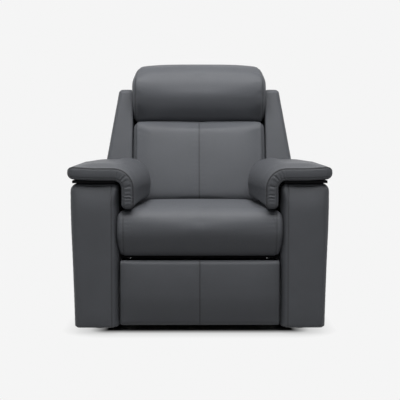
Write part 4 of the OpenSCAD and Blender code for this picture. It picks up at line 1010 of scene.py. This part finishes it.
def arm_skin(side, name):
    """Arm cover: the arm's rounded outline, open below, carried from its front to its rear.
    Its ends draw in over a quarter circle to the middle of the lower edge, the top falls
    behind the pad, the front face swells, and the lower hem turns in."""
    low, high = corners("arm_cover_right")
    inner = corners("mechanism_plate_right")[1][0]
    foot = high[0] - 14 * MM
    root = low[2] - 200 * MM
    closed = rounded_outline(
        [(inner, root), (foot - 5 * MM, root), (high[0], high[2]), (inner, high[2])],
        [1 * MM, 1 * MM, 30 * MM, 27 * MM], 900)
    start = np.argmin(np.hypot(closed[:, 0] - inner, closed[:, 1] - low[2]))
    closed = np.roll(closed, -start, axis=0)
    shell = closed[closed[:, 1] >= low[2]][::-2]
    shell[0, 1] = shell[-1, 1] = low[2]
    way = np.gradient(shell, axis=0)
    way /= np.linalg.norm(way, axis=1)[:, None]
    inward = np.column_stack([-way[:, 1], way[:, 0]])
    hub = np.array([(inner + foot) / 2, low[2]])
    if np.sum(inward * (hub - shell)) < 0:
        inward = -inward
    inward[0] = inward[-1] = 0
    inward[0, 0], inward[-1, 0] = np.sign(hub[0] - shell[0, 0]), np.sign(hub[0] - shell[-1, 0])
    half = (high[1] - low[1]) / 2
    places, insets = end_profile(half, ARM_END, 0, 7 * MM, np.linspace(0, 1, 25)[:-1] ** 2)
    x, z = np.moveaxis(swept(shell, hub, insets, ARM_END, inward), -1, 0)
    y = (places + (low[1] + high[1]) / 2)[:, None]
    fall = FALL * np.clip((y - FALL_START) / FALL_RUN, 0, 1)
    z = z - fall * smooth_step(z, low[2] + 60 * MM, high[2])
    y = np.broadcast_to(y, x.shape)
    up = np.clip((z - low[2]) / (high[2] - low[2]), 0, 1)
    share = (x - (inner + high[0]) / 2) / ((high[0] - inner) / 2)
    fore = 1 - smooth_step(y, low[1], low[1] + 26 * MM)
    fuller_above = 0.55 + 0.45 * smooth_step(up, 0.5, 0.93)
    y = y - 7 * MM * fore * crowned(share, 3.0) * fuller_above * crowned(2 * up - 1, 10.0)
    turned = np.clip((inner + INNER_BAND - x) / INNER_BAND, 0, 1)
    y = y + (1 - smooth_step(y, low[1], low[1] + 60 * MM)) * np.maximum(
        30 * MM * turned**1.6 * (1 - 0.8 * smooth_step(up, 0.84, 0.96)),
        18 * MM * smooth_step(up, 0.84, 1.04) * crowned(share, 3.0))
    below = np.clip(HEM_RADIUS - (z - low[2]), 0, None)
    hem = HEM_RADIUS - np.sqrt(np.clip(HEM_RADIUS**2 - below**2, 0, None))
    along_y = np.clip(y, low[1] + ARM_END, high[1] - ARM_END)
    out = np.stack([x - np.clip(x, inner + ARM_END, foot - ARM_END), y - along_y], axis=-1)
    out /= np.maximum(np.linalg.norm(out, axis=-1, keepdims=True), 1e-9)
    x = x - out[..., 0] * hem
    y = y - out[..., 1] * hem
    side_swell = 9 * MM * smooth_step(share, 0.6, 1.0) * np.sin(np.pi * up**2.4) * crowned(
        (y - low[1]) / half - 1, 8.0)
    if side < 0:
        side_swell = side_swell * smooth_step(off_bezel(y, z), 4 * MM, 45 * MM)
    x = x + side_swell
    grid = np.stack([x, y, z], axis=-1)
    grid[..., 0] *= side
    piece = ended_skin(name, grid, closed=False)
    p = of_vertices(piece.data)
    wide = np.abs(p[:, 0])
    front = UNSEWN * smooth_step(p[:, 1], low[1] + 30 * MM, low[1] + 60 * MM)
    inner_seam = np.abs(wide - inner - INNER_BAND)
    off_side = 3 * np.clip(foot - 6 * MM - wide, 0, None)
    outer_seam = np.hypot(p[:, 1] - low[1] - 34 * MM, off_side)
    rear_seam = np.hypot(p[:, 1] - high[1] + 30 * MM, off_side)
    pressed(piece, [(inner_seam + front, p[:, 2], 0.5 * MM, 1, 1),
                    (outer_seam, p[:, 2], 0.8 * MM, 1, 1), (rear_seam, p[:, 2], 0.8 * MM, 1, 1)])
    return piece


class RECLINER_OT_arm_covers(bpy.types.Operator):
    """Makes both arm covers: a padded skin open below, with a swollen front panel and sewn
    edges, cut out on one side for the control bezel"""

    bl_idname = "recliner.arm_covers"
    bl_label = "Arm covers"

    def execute(self, context):
        for side, word in SIDES:
            piece = arm_skin(side, f"Arm_leather_{word}")
            if side < 0:
                bezel_cut_out(piece)
            wall = piece.modifiers.new("Padding", "SOLIDIFY")
            wall.thickness = ARM_WALL
            wall.offset = -1
            wall.use_even_offset = True
            applied(piece)
            dressed(piece, "base", f"arm_cover_{word}", "Leather arms")
        return {"FINISHED"}


class RECLINER_OT_rear_panels(bpy.types.Operator):
    """Makes the padded cover behind the back and the panel between the arms at the rear:
    crowned slabs with rounded edges and sewn borders"""

    bl_idname = "recliner.rear_panels"
    bl_label = "Rear panels"

    def execute(self, context):
        half = corners("back_board")[1][0]
        side_seam, top_seam = 118 * MM, 560 * MM
        front, rear = 88 * MM, 131.8 * MM
        low, high = -30 * MM, 628 * MM
        ring, hub = rounded_box((front, low), (rear, high), [4 * MM, 21 * MM, 21 * MM, 4 * MM], 200)
        grid = swept_across(ring, hub, half, 15 * MM, 1 * MM, 6 * MM)
        share, up = grid[..., 0] / half, (grid[..., 2] - hub[1]) / (high - hub[1])
        aft = smooth_step(grid[..., 1], front + 10 * MM, rear)
        grid[..., 1] += 6 * MM * aft * crowned(share, 3.0) * crowned(up, 4.0)
        grid[..., 1] = np.maximum(grid[..., 1], front)
        piece = ended_skin("Back_cover_leather", on_back(grid))
        p = off_back(of_vertices(piece.data))
        aft = UNSEWN * (1 - smooth_step(p[:, 1], front + 15 * MM, rear - 8 * MM))
        pressed(piece, [(beside(p, side_seam) + aft, p[:, 2], 0.8 * MM, 1, 1),
                        (np.abs(p[:, 2] - top_seam) + aft, p[:, 0], 0.8 * MM, 1, 1)])
        dressed(piece, "back", "back_cover", "Leather arms")

        low, high = corners("rear_panel")
        ring, hub = rounded_box(low[1:], high[1:], [1 * MM, 5 * MM, 5 * MM, 1 * MM], 240)
        grid = swept_across(ring, hub, high[0], 4.5 * MM, 0.3 * MM, 6 * MM)
        piece = ended_skin("Rear_panel_leather", grid)
        p = of_vertices(piece.data)
        border = np.minimum.reduce([high[0] - np.abs(p[:, 0]), high[2] - p[:, 2], p[:, 2] - low[2]])
        aft = UNSEWN * (1 - smooth_step(p[:, 1], low[1], high[1] - 4 * MM))
        pressed(piece, [(np.abs(border - 16 * MM) + aft, p[:, 0] + p[:, 2], 0.5 * MM, 0.7, 0.6)])
        dressed(piece, "base", "rear_panel", "Leather arms")
        return {"FINISHED"}


# Hardware and studio


FINISHES_OF_NODES = {
    "Timber": ["back_bottom_rail"],
    "Leather wings": ["back_posts", "back_top_rail"],
    "Plywood": ["leg_board"],
    "Matt black": ["seat_front_rail", "seat_rear_rail", "seat_side_rails", "rear_rail",
                   "back_board", "pad_board_left", "pad_board_right", "arm_frame_left",
                   "arm_frame_right", "leg_brackets", "drive_tube"],
    "Painted steel": ["mechanism_plate_left", "mechanism_plate_right", "cross_tubes",
                      "drive_links", "rear_links", "carrier_links", "steady_links",
                      "back_brackets", "back_crank"],
    "Bright steel": ["leg_spindle", "back_spindle", "seat_springs", "glide_screws"],
    "Blackened steel": ["frame_bolts", "plate_pins", "drive_pins", "carrier_pins", "bracket_pins",
                        "spring_clips"],
    "Black plastic": ["glides", "power_box", "power_inlet", "leg_motor", "back_motor",
                      "control_bezel", "switch_body"],
    "Pale plastic": ["leg_nut", "back_nut"],
    "Button metal": ["button_leg_out", "button_leg_in", "button_recline", "button_upright"],
}


class RECLINER_OT_finishes(bpy.types.Operator):
    """Makes the leathers and the hardware's finishes, and puts the latter on the plain nodes"""

    bl_idname = "recliner.finishes"
    bl_label = "Finishes"

    def execute(self, context):
        # Copies of one leather, made lighter or darker by their factors: painted light and shade on
        # the cushions, pads, wings, arms and leg rest
        leather("Leather cushions", 1.03)
        leather("Leather arm pads", 0.79)
        leather("Leather wings", 0.95)
        leather("Leather arms", 0.90)
        leather("Leather leg rest", 0.89)
        wood("Timber", (0.46, 0.30, 0.16), (0.33, 0.20, 0.10), 9.0)
        wood("Plywood", (0.50, 0.35, 0.20), (0.34, 0.22, 0.12), 60.0, ply=True)
        plain_finish("Matt black", (0.007, 0.007, 0.008), 0.88, bump=0.2, scale=180.0,
                     specular=0.12)
        plain_finish("Painted steel", (0.026, 0.027, 0.030), 0.52, speckle=0.12, scale=90.0)
        plain_finish("Bright steel", (0.52, 0.53, 0.55), 0.28, metallic=1.0, speckle=0.06,
                     stretch=(6.0, 1.0, 1.0))
        plain_finish("Blackened steel", (0.014, 0.014, 0.015), 0.62, speckle=0.1)
        plain_finish("Black plastic", (0.018, 0.018, 0.020), 0.48, bump=0.25, scale=260.0)
        plain_finish("Pale plastic", (0.62, 0.60, 0.54), 0.45, speckle=0.04)
        plain_finish("Button metal", (0.50, 0.51, 0.53), 0.32, metallic=1.0, speckle=0.04,
                     stretch=(1.0, 1.0, 9.0))
        for name, nodes in FINISHES_OF_NODES.items():
            for node in nodes:
                finished(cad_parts[node].data, name)
        return {"FINISHED"}


# Name, place, aim, size, power in watts, and whether gloss shows it
LAMPS = (
    ("Overhead", (0, -1.1, 2.95), (0, -0.35, 0.2), (2.6, 1.5), 116, True),
    ("Front fill", (0, -4.2, 2.8), (0, 0, 0.5), (3.0, 1.5), 27, True),
    ("Right fill", (3.6, 0.9, 1.7), (0.5, 0.1, 0.5), (2.0, 1.6), 34, False),
    ("Left fill", (-3.6, 0.9, 1.7), (-0.5, 0.1, 0.5), (2.0, 1.6), 34, False),
    ("Rear fill", (0, 4.2, 1.5), (0, 0.4, 0.6), (3.0, 1.2), 46, False))
# Half of the dark ground under the chair along X and Y, and where its white starts and ends
DARK_GROUND = (0.36, 0.35, 0.0)
WHITE_START = 70 * MM
WHITE_END = 180 * MM


def mixed(tree, share, lit, seen, out):
    """Output of two shaders mixed by a share: 0 gives the lit one, 1 the one that is seen."""
    mix = add_node(tree, "MixShader")
    for k, value in enumerate((share, lit.outputs[0], seen.outputs[0])):
        tree.links.new(value, mix.inputs[k])
    tree.links.new(mix.outputs[0], out.inputs[0])


def lamp(name, place, aim, size, power, glossy):
    """Soft area lamp that looks at a place, and is seen in gloss or not."""
    light = bpy.data.lights.new(name, "AREA")
    light.shape = "RECTANGLE"
    light.size, light.size_y = size
    light.energy = power
    made = bpy.data.objects.new(name, light)
    made.location = place
    made.visible_glossy = glossy
    made.rotation_euler = (Vector(aim) - Vector(place)).to_track_quat("-Z", "Y").to_euler()
    bpy.context.scene.collection.objects.link(made)


class RECLINER_OT_studio(bpy.types.Operator):
    """Sets up the floor, the lamps, the world and the camera"""

    bl_idname = "recliner.studio"
    bl_label = "Studio"

    def execute(self, context):
        scene = context.scene
        studio = scene.recliner_studio
        material, tree, shader, where = new_finish("Studio ground")
        ground = tuple(studio.ground)
        shader.inputs["Base Color"].default_value = (0.25, 0.25, 0.25, 1)
        shader.inputs["Roughness"].default_value = 0.9
        shader.inputs["Specular IOR Level"].default_value = 0.0
        glow = add_node(tree, "Emission", {"Color": (*ground, 1), "Strength": 1.0})
        away = where
        for step, by in (("ABSOLUTE", None), ("SUBTRACT", DARK_GROUND), ("MAXIMUM", (0, 0, 0))):
            node = add_node(tree, "VectorMath", {1: by} if by else (), operation=step)
            tree.links.new(away, node.inputs[0])
            away = node.outputs[0]
        off_base = add_node(tree, "VectorMath", operation="LENGTH")
        tree.links.new(away, off_base.inputs[0])
        far = off_base.outputs["Value"]
        white = joined(tree, "MULTIPLY", ranged(tree, far, 0.0, WHITE_START, 0.0, 1.0),
                       ranged(tree, far, WHITE_START, WHITE_END, studio.whiteness, 1.0))
        mixed(tree, joined(tree, "MULTIPLY", white, seen_rays(tree)), shader, glow,
              tree.nodes["Material Output"])
        x, y = np.meshgrid(np.linspace(-20, 20, 41), np.linspace(-20, 40, 61), indexing="ij")
        points = np.stack([x, y, np.zeros_like(x)], axis=-1).reshape(-1, 3)
        mesh = bpy.data.meshes.new("Studio_floor")
        mesh.from_pydata(points.tolist(), [], grid_quads(*x.shape, False)[:, ::-1].tolist())
        mesh.materials.append(material)
        floor = bpy.data.objects.new("Studio_floor", mesh)
        scene.collection.objects.link(floor)

        world = bpy.data.worlds.new("Studio")
        scene.world = world
        world.use_nodes = True
        tree = world.node_tree
        tree.nodes.clear()
        seen = add_node(tree, "Background", {"Color": (*ground, 1)})
        lit = add_node(tree, "Background", {"Color": (0.95, 0.97, 1.0, 1), "Strength": 0.07})
        mixed(tree, seen_rays(tree), lit, seen, add_node(tree, "OutputWorld"))

        for settings in LAMPS:
            lamp(*settings)

        camera = bpy.data.cameras.new("Camera")
        camera.lens = studio.lens
        made = bpy.data.objects.new("Camera", camera)
        made.location = (studio.aside, -studio.distance, studio.height)
        made.rotation_euler = (math.pi / 2 - studio.pitch, 0, -studio.yaw)
        scene.collection.objects.link(made)
        scene.camera = made
        scene.view_settings.view_transform = "Standard"
        return {"FINISHED"}


class RECLINER_PT_upholstery(bpy.types.Panel):
    """Lists the sizes and colours, and the steps that make the chair's looks."""

    bl_label = "Recliner"
    bl_idname = "RECLINER_PT_upholstery"
    bl_space_type = "VIEW_3D"
    bl_region_type = "UI"
    bl_category = "Recliner"

    def draw(self, context):
        scene = context.scene
        for group in (scene.recliner_leather, scene.recliner_cushions, scene.recliner_studio):
            box = self.layout.box()
            for name in group.__annotations__:
                box.prop(group, name)
        for step in STEPS:
            self.layout.operator(step.bl_idname)


GROUPS = {"recliner_leather": LeatherSettings, "recliner_cushions": CushionSettings,
          "recliner_studio": StudioSettings}
STEPS = (RECLINER_OT_finishes, RECLINER_OT_seat_cushion, RECLINER_OT_back_cushion,
         RECLINER_OT_head_pillow, RECLINER_OT_arm_pads, RECLINER_OT_wings, RECLINER_OT_leg_pad,
         RECLINER_OT_arm_covers, RECLINER_OT_rear_panels, RECLINER_OT_studio)


def register():
    for kind in (*GROUPS.values(), *STEPS, RECLINER_PT_upholstery):
        bpy.utils.register_class(kind)
    for name, kind in GROUPS.items():
        setattr(bpy.types.Scene, name, bpy.props.PointerProperty(type=kind))


def unregister():
    for name in GROUPS:
        delattr(bpy.types.Scene, name)
    for kind in (RECLINER_PT_upholstery, *reversed(STEPS), *reversed(GROUPS.values())):
        bpy.utils.unregister_class(kind)


def main():
    """Registers the add-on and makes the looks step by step."""
    register()
    for step in STEPS:
        group, name = step.bl_idname.split(".")
        getattr(getattr(bpy.ops, group), name)()


if __name__ == "__main__":
    main()
